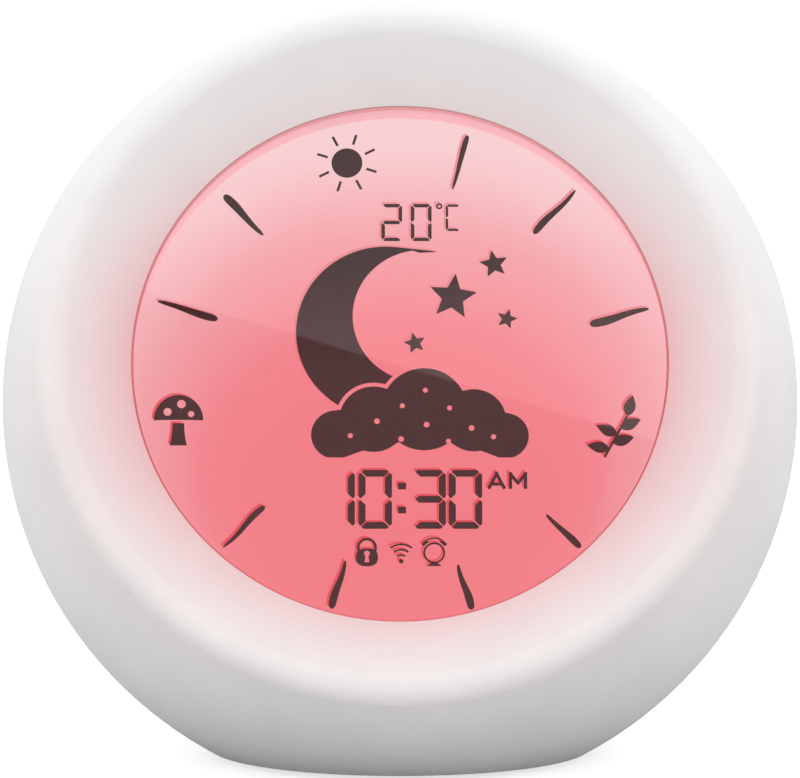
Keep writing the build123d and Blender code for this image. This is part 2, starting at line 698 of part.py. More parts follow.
def lock_knob():
    """Knob of the child lock, at the left end of its slot."""
    low = BACK_DEPTH + FIT_GAP
    pad = slab(LOCK_PAD[:2], low, low + LOCK_PAD[2])
    pad = fillet(pad.edges().group_by(Axis.Z)[-1], LOCK_PAD_ROUND)
    groove = (LOCK_GROOVE, LOCK_PAD[1])
    for index in (-1, 0, 1):
        cut = slab(groove, low + LOCK_PAD[2] - LOCK_GROOVE, low + LOCK_PAD[2])
        pad -= Pos(index * LOCK_GROOVE_STEP, 0, 0) * cut
    stem = slab(LOCK_STEM, ARCH_BACK + LOCK_SWITCH[2] - LOCK_STEM_IN, low)
    return REAR * Pos(-KEY_ARC_R - LOCK_TRAVEL / 2, 0, 0) * (pad + stem)


def usb_jack():
    """Power inlet standing on the control board, its mouth in the recess."""
    shell = extrude(SlotOverall(*USB_MOUTH), USB_FLOOR - ARCH_BACK)
    hollow = extrude(SlotOverall(*grown(USB_MOUTH, -USB_SHEET)), USB_HOLLOW)
    shell -= Pos(0, 0, USB_FLOOR - ARCH_BACK - USB_HOLLOW) * hollow
    start = USB_FLOOR - ARCH_BACK - USB_HOLLOW
    shell += slab(USB_TONGUE, start, start + USB_TONGUE_L)
    return REAR * Pos(KEY_ARC_R, 0, ARCH_BACK) * shell


def thermistor():
    """Temperature sensor behind the air slots."""
    return REAR * Pos(-KEY_ARC_R, VENT_UP, 0) * disc(SENSOR_R, ARCH_BACK, ARCH_BACK + SENSOR_H)


def speaker_pilot():
    """Blind hole for a loudspeaker screw in the back wall."""
    reach = SMALL_SCREW[1] - SPEAKER_SHEET
    return disc(SMALL_SCREW[0] + HOLE_GAP, SPEAKER_FRONT, min(SPEAKER_FRONT + reach, BACK_DEPTH - WALL / 3))


def speaker_grille():
    """Round insert with rings of holes."""
    grille = disc(GRILLE_R, BACK_DEPTH - GRILLE_T, BACK_DEPTH)
    grille = chamfer(grille.edges().group_by(Axis.Z)[-1], GRILLE_EDGE)
    hole = disc(PERF_R, BACK_DEPTH - GRILLE_T, BACK_DEPTH)
    holes = [hole]
    for count in range(1, PERF_RINGS + 1):
        angles = [index * 60 / count for index in range(6 * count)]
        holes += around(count * PERF_STEP, angles, hole)
    return REAR * Pos(0, SPEAKER_UP, 0) * (grille - holes)


def speaker_basket():
    """Pressed basket: flange with four ears, cone wall and back plate."""
    inner = SPEAKER_R - SPEAKER_SEAT_WALL
    low = SPEAKER_FRONT - SPEAKER_SHEET
    wall = inner + SPEAKER_SHEET
    plate = SPEAKER_R * SPEAKER_BACK_SHARE
    outline = (
        (inner, SPEAKER_FRONT),
        (SPEAKER_R, SPEAKER_FRONT),
        (SPEAKER_R, low),
        (wall, low),
        (plate, SPEAKER_BACK),
        (0, SPEAKER_BACK),
        (0, SPEAKER_BACK + SPEAKER_SHEET),
        (plate - SPEAKER_SHEET, SPEAKER_BACK + SPEAKER_SHEET),
        (inner, low),
    )
    edges = [line(start, end) for start, end in zip(outline, outline[1:] + outline[:1])]
    basket = turned(*edges)
    ear = disc(SPEAKER_EAR_R, low, SPEAKER_FRONT)
    for piece in around(SPEAKER_EAR_AT, SPEAKER_EAR_ANGLES, ear):
        basket += piece
    hole = disc(SMALL_SCREW[0] + HOLE_GAP, low, SPEAKER_FRONT)
    for piece in around(SPEAKER_EAR_AT, SPEAKER_EAR_ANGLES, hole):
        basket -= piece
    return REAR * Pos(0, SPEAKER_UP, 0) * basket


def speaker_cone():
    """Paper cone with its dust cap."""
    rim = SPEAKER_R - SPEAKER_SEAT_WALL - CONE_GAP
    cap_r = SPEAKER_R * CAP_SHARE
    foot = SPEAKER_FRONT - CONE_DEEP
    radius = (cap_r**2 + CAP_H**2) / (2 * CAP_H)
    angle = asin(cap_r / radius)
    cap = arc((0, foot + CAP_H - radius), radius, radians(90), radians(90) - angle)
    cone = turned(
        cap,
        line((cap_r, foot), (rim, SPEAKER_FRONT)),
        line((rim, SPEAKER_FRONT), (rim, SPEAKER_FRONT - CONE_T)),
        line((rim, SPEAKER_FRONT - CONE_T), (cap_r, foot - CONE_T)),
        line((cap_r, foot - CONE_T), (0, foot - CONE_T)),
        line((0, foot - CONE_T), (0, foot + CAP_H)),
    )
    return REAR * Pos(0, SPEAKER_UP, 0) * cone


def speaker_magnet():
    """Magnet glued to the basket's back plate."""
    magnet = disc(SPEAKER_R * MAGNET_SHARE, SPEAKER_BACK - MAGNET_H, SPEAKER_BACK)
    return REAR * Pos(0, SPEAKER_UP, 0) * magnet


def speaker_screws():
    """Four screws through the basket's ears."""
    shank_l = BACK_DEPTH - WALL / 2 - SPEAKER_FRONT + SPEAKER_SHEET
    one = screw((SMALL_SCREW[0], shank_l, *SMALL_SCREW[2:]), SPEAKER_FRONT - SPEAKER_SHEET)
    pieces = around(SPEAKER_EAR_AT, SPEAKER_EAR_ANGLES, one)
    return together([REAR * Pos(0, SPEAKER_UP, 0) * piece for piece in pieces])


def stake_places():
    """Middles of the heat stakes beside the battery door."""
    x = DOOR_SIDE / 2 + DOOR_GAP + TRAY_SIDE / 2
    y = DOOR_SIDE / 2 - STAKE_IN
    return [(side * x, DOOR_UP + end * y) for side in (-1, 1) for end in (-1, 1)]


def battery_tray():
    """Round well for the coin cell with a flange, held by four heat stakes."""
    tray = slab((TRAY_W, TRAY_H), BACK_IN - TRAY_SHEET, BACK_IN)
    tray += disc(CELL_WELL_R + TRAY_SHEET, WELL_FLOOR - TRAY_SHEET, BACK_IN)
    tray -= disc(CELL_WELL_R, WELL_FLOOR, BACK_IN)
    tray -= Pos(0, CELL_WELL_R, 0) * disc(NOTCH_R, BACK_IN - TRAY_SHEET / 2, BACK_IN)
    tray -= Pos(CELL_WELL_R, 0, 0) * slab((2 * CLIP_NOTCH, CLIP_W + 2 * FIT_GAP), WELL_FLOOR, BACK_IN)
    tray = REAR * Pos(0, DOOR_UP, 0) * tray
    for place in stake_places():
        tray -= REAR * Pos(*place) * disc(STAKE_R + FIT_GAP, WELL_FLOOR, BACK_IN)
    return tray


def coin_cell():
    """Coin cell that keeps the time when the power is off."""
    cell = disc(CELL_R, CELL_LOW, CELL_HIGH)
    return REAR * Pos(0, DOOR_UP, 0) * chamfer(cell.edges(), CELL_EDGE)


def battery_contacts():
    """Sprung tongue under the cell and a clip at its side."""
    half = CONTACT_L / 2
    outline = (
        (-half, WELL_FLOOR),
        (half, WELL_FLOOR),
        (half, WELL_FLOOR + CONTACT_T),
        (CONTACT_T - half, WELL_FLOOR + CONTACT_T),
        (half, CELL_LOW - CONTACT_T),
        (half, CELL_LOW),
        (-half, WELL_FLOOR + 2 * CONTACT_T),
    )
    edges = [line(start, end) for start, end in zip(outline, outline[1:] + outline[:1])]
    tongue = extrude(make_face(edges), amount=CONTACT_W / 2, both=True)
    clip = slab((CONTACT_T, CLIP_W), WELL_FLOOR, CELL_HIGH)
    clip = Pos(CELL_WELL_R + CLIP_NOTCH - FIT_GAP - CONTACT_T / 2, 0, 0) * clip
    return together([REAR * Pos(0, DOOR_UP, 0) * piece for piece in (tongue, clip)])


def battery_door():
    """Flap whose rounded lower edge turns on two pins."""
    half = DOOR_T / 2
    tall = DOOR_SIDE - half
    flap = Box(DOOR_SIDE, tall, DOOR_T, align=(Align.CENTER, Align.MIN, Align.CENTER))
    flap += Rot(0, 90, 0) * Cylinder(half, DOOR_SIDE)
    flap += Rot(0, 90, 0) * Cylinder(PIN_R, DOOR_SIDE + 2 * PIN_L)
    for index in range(1, DOOR_GROOVE_COUNT + 1):
        groove = Box(DOOR_GROOVE_W, DOOR_GROOVE, DOOR_T)
        flap -= Pos(0, tall - index * DOOR_GROOVE_STEP, DOOR_T - DOOR_GROOVE) * groove
    return REAR * Pos(0, DOOR_HINGE_UP, DOOR_AXIS) * flap


def link_cable():
    """Flat cable from the back of the main board to the control board."""
    low = LENS_R * LINK_SHARE
    high = KEY_ARC_R - ARCH_IN + LINK_IN
    start = DIAL * Pos(0, low, BOARD_BACK)
    stub = DIAL * Pos(0, low, BOARD_BACK - LINK_STUB)
    turn = REAR * Pos(0, high, ARCH_FRONT - LINK_STUB)
    end = REAR * Pos(0, high, ARCH_FRONT)
    path = FilletPolyline(*[place.position for place in (start, stub, turn, end)], radius=LINK_BEND)
    section = Plane(path @ 0, x_dir=(1, 0, 0), z_dir=path % 0) * Rectangle(LINK_W, LINK_T)
    return sweep(section, path)


def build():
    """All pieces by node name."""
    core = housing(WALL / 2)
    shell = housing(0) - housing(WALL)
    nodes = {
        "front_shell": front_shell(shell, core),
        "rear_shell": rear_shell(shell, core),
        "base_pad": base_pad(),
        "housing_screws": housing_screws(),
        "dial_lens": dial_lens(),
        "lens_gasket": lens_gasket(),
        "display_frame": display_frame(),
        "lcd_panel": lcd_panel(),
        "diffuser": diffuser(),
        "reflector_sheet": reflector_sheet(),
        "backlight_leds": backlight_leds(),
        "zebra_strip": zebra_strip(),
        "main_board": main_board(),
        "controller_chip": controller_chip(),
        "radio_module": radio_module(),
        "board_parts": board_parts(),
        "frame_screws": frame_screws(),
        "board_screws": board_screws(),
        "control_board": control_board(),
        "control_screws": control_screws(),
        "switch_bodies": switch_bodies(),
        "lock_switch": lock_switch(),
        "lock_knob": lock_knob(),
        "usb_jack": usb_jack(),
        "thermistor": thermistor(),
        "link_cable": link_cable(),
        "speaker_grille": speaker_grille(),
        "speaker_basket": speaker_basket(),
        "speaker_cone": speaker_cone(),
        "speaker_magnet": speaker_magnet(),
        "speaker_screws": speaker_screws(),
        "battery_tray": battery_tray(),
        "battery_contacts": battery_contacts(),
        "coin_cell": coin_cell(),
        "battery_door": battery_door(),
    }
    keys = around(KEY_ARC_R, key_angles(), key())
    plungers = around(KEY_ARC_R, key_angles(), plunger())
    for name, cap, pin in zip(KEY_NAMES, keys, plungers):
        nodes[name + "_button"] = REAR * cap
        nodes[name + "_plunger"] = REAR * pin
    return nodes


os.makedirs("parts", exist_ok=True)
for node, shape in build().items():
    export_step(shape, f"parts/{node}.step")
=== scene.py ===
import bpy
import numpy as np
from mathutils import Matrix


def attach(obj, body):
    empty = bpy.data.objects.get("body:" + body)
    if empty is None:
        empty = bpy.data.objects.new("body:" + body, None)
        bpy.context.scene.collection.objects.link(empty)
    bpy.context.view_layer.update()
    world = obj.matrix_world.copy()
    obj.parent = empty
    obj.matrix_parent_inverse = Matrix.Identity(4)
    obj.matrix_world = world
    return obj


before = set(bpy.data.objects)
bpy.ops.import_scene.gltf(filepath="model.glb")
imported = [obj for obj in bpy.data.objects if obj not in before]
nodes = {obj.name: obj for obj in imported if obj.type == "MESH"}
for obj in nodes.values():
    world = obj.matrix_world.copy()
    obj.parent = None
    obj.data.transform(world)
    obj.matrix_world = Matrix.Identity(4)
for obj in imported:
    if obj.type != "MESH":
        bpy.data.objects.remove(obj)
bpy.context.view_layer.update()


# Housing: the two halves of a ball, the loudspeaker's grille, the cell's tray and its door, all moulded in
# milky ABS. Screws from behind draw the halves together on a tongue and groove, which leaves a fine line
# round the ball. Light from the display runs on inside the wall and tints the funnel round the dial: this
# glow is painted into the housing's colour.
MM = 0.001
TILT = np.radians(22.0)     # lean of the dial
CENTRE_Z = 62.2             # ball's centre above the floor
DIAL_R = 46.4               # opening at the funnel's bottom
# Painted light: the glow below is mixed into the housing's colour near the opening
GLOW_REACH = (22.0, 13.0)   # glow beyond the opening, below and above
GLOW_SIDE = (11.0, 3.0)     # how much farther it reaches at the sides, low and high on the dial
GLOW_BELOW = 0.7            # its strength at the dial's foot
GLOW_ABOVE = 0.3            # and at its top
GLOW_FRONT = (10.0, 20.0)   # levels along the dial's axis where the glow sets in
# Painted light and shade: a red line of the display's light at the opening, turning to browner shade above
EDGE_W = 0.16               # red line at the opening
EDGE_SHARES = (0.9, 0.7)    # its strength, below and above
EDGE_FRONT = (20.0, 22.0)   # levels where it sets in
PARTING_Y = 8.0             # plane where the halves meet
PARTING_HALF = 0.09         # half the width of the line there
SKIN_GRAIN = 0.45           # spark-eroded grain, near 0.05 mm on the real skin and drawn coarser to show
SKIN_DEPTH = 0.02


def srgb(code):
    """Linear colour from an sRGB hex code: each channel is undone by the sRGB curve."""
    part = np.array([int(code[i:i + 2], 16) for i in (1, 3, 5)]) / 255.0
    line = np.where(part <= 0.04045, part / 12.92, ((part + 0.055) / 1.055) ** 2.4)
    return (*(float(v) for v in line), 1.0)


def add(tree, kind, inputs=(), stops=(), **settings):
    """Adds one node with its settings and a ramp's stops, and sets or links its inputs.

    Inputs are given in the node's order or by name, as values, sockets, or nodes for their first output.
    """
    made = tree.nodes.new("ShaderNode" + kind)
    for name, value in settings.items():
        setattr(made, name, value)
    for place, _ in stops[2:]:
        made.color_ramp.elements.new(place)
    for index, (place, code) in enumerate(stops):
        made.color_ramp.elements[index].position = place
        made.color_ramp.elements[index].color = srgb(code)
    for key, value in (inputs if isinstance(inputs, dict) else dict(enumerate(inputs))).items():
        if isinstance(value, bpy.types.Node):
            value = value.outputs[0]
        if isinstance(value, bpy.types.NodeSocket):
            tree.links.new(value, made.inputs[key])
        else:
            made.inputs[key].default_value = value
    return made


def start(name):
    """Empty node material and its tree."""
    material = bpy.data.materials.new(name)
    material.use_nodes = True
    material.node_tree.nodes.clear()
    return material, material.node_tree


def skin(tree, grain, depth, rough, swing, mottle=14.0):
    """Skin of a moulded, painted or plated piece: tone and roughness from broad noise, bump from fine.

    grain and mottle are feature sizes and depth is the grain's height, all in millimetres.
    """
    place = add(tree, "TexCoord").outputs["Object"]
    fine = add(tree, "TexNoise", {"Vector": place, "Scale": 1 / (grain * MM), "Detail": 3.0})
    broad = add(tree, "TexNoise", {"Vector": place, "Scale": 1 / (mottle * MM), "Detail": 4.0})
    roughness = add(tree, "MapRange", (broad, 0.3, 0.7, rough - swing, rough + swing))
    bump = add(tree, "Bump", {"Height": fine, "Distance": depth * MM, "Strength": 0.5})
    return broad, roughness, bump


def dial_frame(tree):
    """Place in the dial's own frame, in metres: x across, y up the dial, z along its axis to the viewer."""
    place = add(tree, "TexCoord").outputs["Object"]
    lean = {"Vector": place, "Location": (0, 0, CENTRE_Z * MM), "Rotation": (np.pi / 2 - TILT, 0, 0)}
    return add(tree, "Mapping", lean, vector_type="TEXTURE")


def milky_abs():
    """ABS from a spark-eroded mould: satin off-white with broad soft highlights and no mirror image."""
    material, tree = start("abs_milky_moulded")
    tone, roughness, normal = skin(tree, SKIN_GRAIN, SKIN_DEPTH, rough=0.46, swing=0.05)
    white = add(tree, "ValToRGB", (tone,), stops=((0.3, "#EFEEEE"), (0.7, "#F4F3F2")))

    # Distance from the opening, and the sideways and upward shares of the direction from the dial's axis
    across, up, out = add(tree, "SeparateXYZ", (dial_frame(tree),)).outputs
    flat = add(tree, "CombineXYZ", (across, up))
    radius = add(tree, "VectorMath", (flat,), operation="LENGTH").outputs["Value"]
    beyond = add(tree, "Math", (radius, DIAL_R * MM), operation="SUBTRACT")
    sideways = add(tree, "Math", (across, radius), operation="DIVIDE")
    height = add(tree, "Math", (up, radius), operation="DIVIDE")

    # Painted glow: it falls with the square of the share left of its reach, which is longest low at the
    # sides
    side_share = add(tree, "Math", (sideways, sideways), operation="MULTIPLY")
    reach = add(tree, "MapRange", (height, -1.0, 1.0, GLOW_REACH[0] * MM, GLOW_REACH[1] * MM))
    longer = add(tree, "MapRange", (height, -0.5, 0.5, GLOW_SIDE[0] * MM, GLOW_SIDE[1] * MM))
    reach = add(tree, "Math", (side_share, longer, reach), operation="MULTIPLY_ADD")
    far = add(tree, "Math", (beyond, reach), operation="DIVIDE")
    near = add(tree, "MapRange", (far, 0.0, 1.0, 1.0, 0.0))
    near = add(tree, "Math", (near, 2.0), operation="POWER")
    levels = (GLOW_FRONT[0] * MM, GLOW_FRONT[1] * MM)
    ahead = add(tree, "MapRange", (out, *levels), interpolation_type="SMOOTHSTEP")
    below = add(tree, "MapRange", (height, -1.0, -0.2, GLOW_BELOW, 1.0), interpolation_type="SMOOTHSTEP")
    above = add(tree, "MapRange", (height, 0.1, 1.0, 1.0, GLOW_ABOVE), interpolation_type="SMOOTHSTEP")
    glow = add(tree, "Math", (near, ahead), operation="MULTIPLY")
    glow = add(tree, "Math", (glow, below), operation="MULTIPLY")
    glow = add(tree, "Math", (glow, above), operation="MULTIPLY")
    painted_glow_colour = add(tree, "Mix", {0: glow, 6: white, 7: srgb("#EFBDC0")}, data_type="RGBA").outputs[2]

    # Line where the wall's edge meets the window, painted into the colour: red light of the display below,
    # and browner painted shade above, where less light runs
    levels = (EDGE_FRONT[0] * MM, EDGE_FRONT[1] * MM)
    edge = add(tree, "MapRange", (beyond, 0.0, EDGE_W * MM, 1.0, 0.0), interpolation_type="SMOOTHSTEP")
    rim = add(tree, "MapRange", (out, *levels), interpolation_type="SMOOTHSTEP")
    fade = add(tree, "MapRange", (height, -1.0, 1.0, *EDGE_SHARES))
    climb = add(tree, "MapRange", (height, -1.0, 1.0))
    red = add(tree, "ValToRGB", (climb,), stops=((0.3, "#DB525D"), (1.0, "#A8625C")))
    edge = add(tree, "Math", (edge, rim), operation="MULTIPLY")
    edge = add(tree, "Math", (edge, fade), operation="MULTIPLY")
    lined = add(tree, "Mix", {0: edge, 6: painted_glow_colour, 7: red}, data_type="RGBA").outputs[2]

    # Shaded line where the halves meet
    place = add(tree, "TexCoord").outputs["Object"]
    depth = add(tree, "SeparateXYZ", (place,)).outputs["Y"]
    off = add(tree, "Math", (depth, PARTING_Y * MM), operation="SUBTRACT")
    off = add(tree, "Math", (off,), operation="ABSOLUTE")
    widths = (PARTING_HALF * MM, 2 * PARTING_HALF * MM)
    seam = add(tree, "MapRange", (off, *widths, 1.0, 0.0), interpolation_type="SMOOTHSTEP")
    colour = add(tree, "Mix", {0: seam, 6: lined, 7: srgb("#8E8B8B")}, data_type="RGBA").outputs[2]

    inputs = {"Base Color": colour, "Roughness": roughness, "Normal": normal, "IOR": 1.53}
    add(tree, "OutputMaterial", (add(tree, "BsdfPrincipled", inputs),))
    return material


def dress(material, *names):
    """Puts a material into the slots of CAD nodes."""
    for name in names:
        for slot in nodes[name].material_slots:
            slot.material = material


dress(milky_abs(), "front_shell", "rear_shell", "speaker_grille", "battery_tray", "battery_door")


# Window: a disc of clear acrylic, cut from cast sheet and polished, that drops into a seat behind the
# funnel and is pressed home by a silicone gasket. The display's light that its front corner catches is
# painted as a fine self-lit red ring.
LENS_FRONT = 24.6           # window's front along the dial's axis
# Painted light: the self-lit ring that stands for the window's lit corner
RING_H = 0.42               # lit corner, up the opening's wall
RING_W = 0.3                # and across the window
CLEAR = 0.01                # gap between a new piece and the solid under it
HAZE_SIZE = 9.0             # patches of faint haze
DIAL_LOW = -46.0            # height range of the lit field
DIAL_TOP = 46.0


def clear_acrylic():
    """Polished acrylic: clear and glossy with the faintest haze. Rays to the lamps pass it unbent."""
    material, tree = start("acrylic_clear_polished")
    place = add(tree, "TexCoord").outputs["Object"]
    patches = add(tree, "TexNoise", {"Vector": place, "Scale": 1 / (HAZE_SIZE * MM), "Detail": 3.0})
    haze = add(tree, "MapRange", (patches, 0.35, 0.75, 0.0, 0.012))
    inputs = {"Base Color": (1, 1, 1, 1), "Roughness": haze, "IOR": 1.49, "Transmission Weight": 1.0}
    seen = add(tree, "BsdfPrincipled", inputs)
    through = add(tree, "BsdfTransparent")
    to_lamp = add(tree, "LightPath").outputs["Is Shadow Ray"]
    add(tree, "OutputMaterial", (add(tree, "MixShader", (to_lamp, seen, through)),))
    return material


def lit_tone(name, stops, base, rough, patch, wander, **sockets):
    """Self-lit layer: its colour runs through the stops from the dial's foot to its top.

    patch is the size in millimetres of the cloudy patches that move a place along the run by up to wander.
    """
    material, tree = start(name)
    place = dial_frame(tree)
    up = add(tree, "SeparateXYZ", (place,)).outputs["Y"]
    along = add(tree, "MapRange", (up, DIAL_LOW * MM, DIAL_TOP * MM))
    cloudy = add(tree, "TexNoise", {"Vector": place, "Scale": 1 / (patch * MM), "Detail": 2.0})
    shift = add(tree, "MapRange", (cloudy, 0.3, 0.7, -wander, wander))
    along = add(tree, "Math", (along, shift), operation="ADD")
    glow = add(tree, "ValToRGB", (along,), stops=stops)
    inputs = {"Base Color": srgb(base), "Roughness": rough, "Emission Color": glow}
    inputs.update({key.replace("_", " "): value for key, value in sockets.items()})
    add(tree, "OutputMaterial", (add(tree, "BsdfPrincipled", inputs),))
    return material


def plain_finish(name, dark, light, grain, depth, rough, swing, **sockets):
    """Finish whose tone wanders between two colours, with roughness and grain from the skin's noise."""
    material, tree = start(name)
    tone, roughness, normal = skin(tree, grain, depth, rough, swing)
    colour = add(tree, "ValToRGB", (tone,), stops=((0.3, dark), (0.7, light)))
    inputs = {"Base Color": colour, "Roughness": roughness, "Normal": normal}
    inputs.update({key.replace("_", " "): value for key, value in sockets.items()})
    add(tree, "OutputMaterial", (add(tree, "BsdfPrincipled", inputs),))
    return material


def on_dial(flat, level):
    """World places of points (x, y) in millimetres on the dial, at a level along its axis."""
    x, y = flat.T
    back = y * np.sin(TILT) - level * np.cos(TILT)
    height = CENTRE_Z + y * np.cos(TILT) + level * np.sin(TILT)
    return MM * np.column_stack((x, back, height))


def turned(profile, points=240):
    """Ring: a closed profile of (radius, level) carried round the dial's axis."""
    radius, level = np.array(profile).T
    count = len(radius)
    turn = np.linspace(0, 2 * np.pi, points, endpoint=False)
    flat = np.column_stack((np.outer(np.cos(turn), radius).ravel(), np.outer(np.sin(turn), radius).ravel()))
    ring, spot = np.meshgrid(np.arange(points), np.arange(count), indexing="ij")
    after, beside = (ring + 1) % points, (spot + 1) % count
    corners = (ring * count + spot, after * count + spot, after * count + beside, ring * count + beside)
    return on_dial(flat, np.tile(level, points)), np.stack(corners, -1).reshape(-1, 4).tolist()


def shape(name, points, faces, material):
    """Mesh object at the origin, from points in metres and faces of point numbers."""
    mesh = bpy.data.meshes.new(name)
    mesh.from_pydata(points, [], faces)
    mesh.materials.append(material)
    made = bpy.data.objects.new(name, mesh)
    bpy.context.scene.collection.objects.link(made)
    return made


dress(clear_acrylic(), "dial_lens")

# Edge-lit acrylic: a thin painted glow, deep coral below and paler above, where the lamps are farther
edge_glow = lit_tone(
    "acrylic_edge_lit", ((0.0, "#D44E5A"), (0.45, "#D4636C"), (1.0, "#F0A4A8")),
    base="#5A2A2C", rough=0.3, patch=6.0, wander=0.03, Emission_Strength=0.8,
)
ring_outer = DIAL_R - CLEAR
ring_low = LENS_FRONT + CLEAR
window_edge = shape(
    "window_edge",
    *turned(((ring_outer, ring_low), (ring_outer, LENS_FRONT + RING_H), (DIAL_R - RING_W, ring_low))),
    edge_glow,
)
window_edge.data.polygons.foreach_set("use_smooth", np.ones(len(window_edge.data.polygons), bool))
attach(window_edge, "clock")

# Die-cut silicone: soft and matt; the rose and faint glow where the lit field shines on it are painted
# light
dress(
    plain_finish(
        "silicone_gasket_cut", "#F1BEC2", "#F4C6CA", grain=0.4, depth=0.01, rough=0.6, swing=0.05,
        Emission_Color=srgb("#E5B0BC"), Emission_Strength=0.35,
    ),
    "lens_gasket",
)


# Display frame: a white moulded ABS cup, screwed behind the window, that holds the panes, the diffuser and
# the main board. Its inner wall shows through the window as a rosy band above the panes, the rose painted
# in as light from the field.

# White ABS: satin, with the lit field it surrounds painted on as a rosy tint and a faint glow
dress(
    plain_finish(
        "abs_white_moulded", "#F3C3C7", "#F6CBCE",
        grain=SKIN_GRAIN, depth=SKIN_DEPTH, rough=0.5, swing=0.05,
        Emission_Color=srgb("#E5B0BC"), Emission_Strength=0.35,
    ),
    "display_frame",
)


# Display: two panes of thin glass with liquid crystal between them, clipped into the frame. Lamps on the
# board behind light an opal diffuser, and the field glows from coral low in the dial to pale rose above.
LAMP_LOW = -30.0            # height on the dial where the glow is deepest
FIELD_FAR = 75.0            # distance from there to the palest tone
FIELD_CORE = (32.0, 41.0)   # radii between which the deeper core of the field ends
FIELD_RIM = (38.0, 46.0)    # radii between which the paler rim sets in
RIM_SPAN = (10.0, -25.0)    # heights between which that rim grows to its full
FIELD_PATCH = 30.0          # cloudy patches of the diffuser
CORE_SHIFT = -0.035         # how far the core, the rim and the patches move a place along the run of tones
RIM_SHIFT = 0.085
PATCH_SHIFT = 0.01


def lit_glass():
    """Back-lit panes: an even soft glow, deepest at the lamps and paler with the distance from them."""
    material, tree = start("glass_display_backlit")
    place = dial_frame(tree)
    across, up, _ = add(tree, "SeparateXYZ", (place,)).outputs
    above = add(tree, "Math", (up, LAMP_LOW * MM), operation="SUBTRACT")
    flat = add(tree, "CombineXYZ", (across, above))
    away = add(tree, "VectorMath", (flat,), operation="LENGTH").outputs["Value"]
    along = add(tree, "MapRange", (away, 0.0, FIELD_FAR * MM))

    # Deeper inside the field, and paler low at its rim, where the sheet's edge scatters the light
    flat = add(tree, "CombineXYZ", (across, up))
    radius = add(tree, "VectorMath", (flat,), operation="LENGTH").outputs["Value"]
    core = add(tree, "MapRange", (radius, FIELD_CORE[0] * MM, FIELD_CORE[1] * MM, CORE_SHIFT, 0.0))
    rim = add(tree, "MapRange", (radius, FIELD_RIM[0] * MM, FIELD_RIM[1] * MM))
    low = add(tree, "MapRange", (up, RIM_SPAN[0] * MM, RIM_SPAN[1] * MM, 0.0, RIM_SHIFT))
    along = add(tree, "Math", (along, core), operation="ADD")
    along = add(tree, "Math", (rim, low, along), operation="MULTIPLY_ADD")
    cloudy = add(tree, "TexNoise", {"Vector": place, "Scale": 1 / (FIELD_PATCH * MM), "Detail": 2.0})
    shift = add(tree, "MapRange", (cloudy, 0.3, 0.7, -PATCH_SHIFT, PATCH_SHIFT))
    along = add(tree, "Math", (along, shift), operation="ADD")
    stops = (
        (0.0, "#FA828B"), (0.36, "#FB858E"), (0.48, "#FB8A93"), (0.57, "#FB98A0"),
        (0.7, "#FAA7AE"), (0.92, "#FDCED1"), (0.98, "#FDD4D6"),
    )
    inputs = {
        "Base Color": srgb("#3A2022"),
        "Roughness": 0.35,
        "Specular IOR Level": 0.1,
        "Emission Color": add(tree, "ValToRGB", (along,), stops=stops),
        "Emission Strength": 0.96,
    }
    add(tree, "OutputMaterial", (add(tree, "BsdfPrincipled", inputs),))
    return material


field = lit_glass()
dress(field, "lcd_panel")


# Marks of the display: segments, strokes and signs etched into the liquid crystal's electrodes, dark where
# they are switched on. Under most of them lies a painted red shadow on the layer behind, a copy shifted up
# and to the left. All lie flat on the panes, a few hundredths of a millimetre thick.
PANE_S = 18.05              # panes' front along the dial's axis
MARK_T = 0.03               # thickness of a layer
# Painted shadow: its copy of the marks is shifted this far left and up
SHADOW_SHIFT = (-0.36, 0.36)
# Heights of the layers above the panes
SHADOW_UP, MARK_UP, CUT_UP, CLOUD_UP, SPOT_UP = 0.03, 0.09, 0.15, 0.21, 0.27
HAIR = 0.02                 # least width of a patch that runs to a point

# Switched liquid crystal: matt and near black, with a trace of the glow coming through low in the dial
dark_crystal = lit_tone(
    "liquid_crystal_dark", ((0.5, "#523435"), (0.72, "#381515")),
    base="#120C0D", rough=0.5, patch=2.0, wander=0.03, Specular_IOR_Level=0.1, Emission_Strength=1.0,
)
# Painted shadow behind it: a self-lit copy in saturated red, palest at the top
painted_red_shadow = lit_tone(
    "liquid_crystal_shadow", ((0.4, "#EE5460"), (0.64, "#F28A92")),
    base="#1E1415", rough=0.5, patch=2.0, wander=0.03, Specular_IOR_Level=0.1, Emission_Strength=1.0,
)


def blob(x, y, radius, points=72):
    """Patch about a middle: its rim lies at radius, which is a number or a function of the angle."""
    angle = np.linspace(0, 2 * np.pi, points, endpoint=False)
    reach = np.broadcast_to(radius(angle) if callable(radius) else radius, angle.shape)
    rim = np.column_stack((x + reach * np.cos(angle), y + reach * np.sin(angle)))
    index = np.arange(points)
    faces = np.column_stack((np.zeros(points, int), 1 + index, 1 + (index + 1) % points))
    return np.vstack(([[x, y]], rim)), faces


def strip(left, right):
    """Patch ruled between two edges with as many points each, one on the left of their run."""
    left, right = np.asarray(left, float), np.asarray(right, float)
    count = len(left)
    index = np.arange(count - 1)
    faces = np.column_stack((count + index, count + index + 1, index + 1, index))
    return np.vstack((left, right)), faces


def band(path, width):
    """Ribbon: each edge lies half the width to the side of the path's direction."""
    path = np.asarray(path, float)
    run = np.gradient(path, axis=0)
    run /= np.linalg.norm(run, axis=1, keepdims=True)
    side = np.column_stack((-run[:, 1], run[:, 0])) * np.broadcast_to(width, len(path))[:, None] / 2
    return strip(path + side, path - side)


def bow(x, y, radius, first, last, points=24):
    """Arc of a circle between two angles in degrees, as a path."""
    angle = np.radians(np.linspace(first, last, points))
    return np.column_stack((x + radius * np.cos(angle), y + radius * np.sin(angle)))


def straight(first, last, points=2):
    """Straight path between two points."""
    return np.linspace(first, last, points)


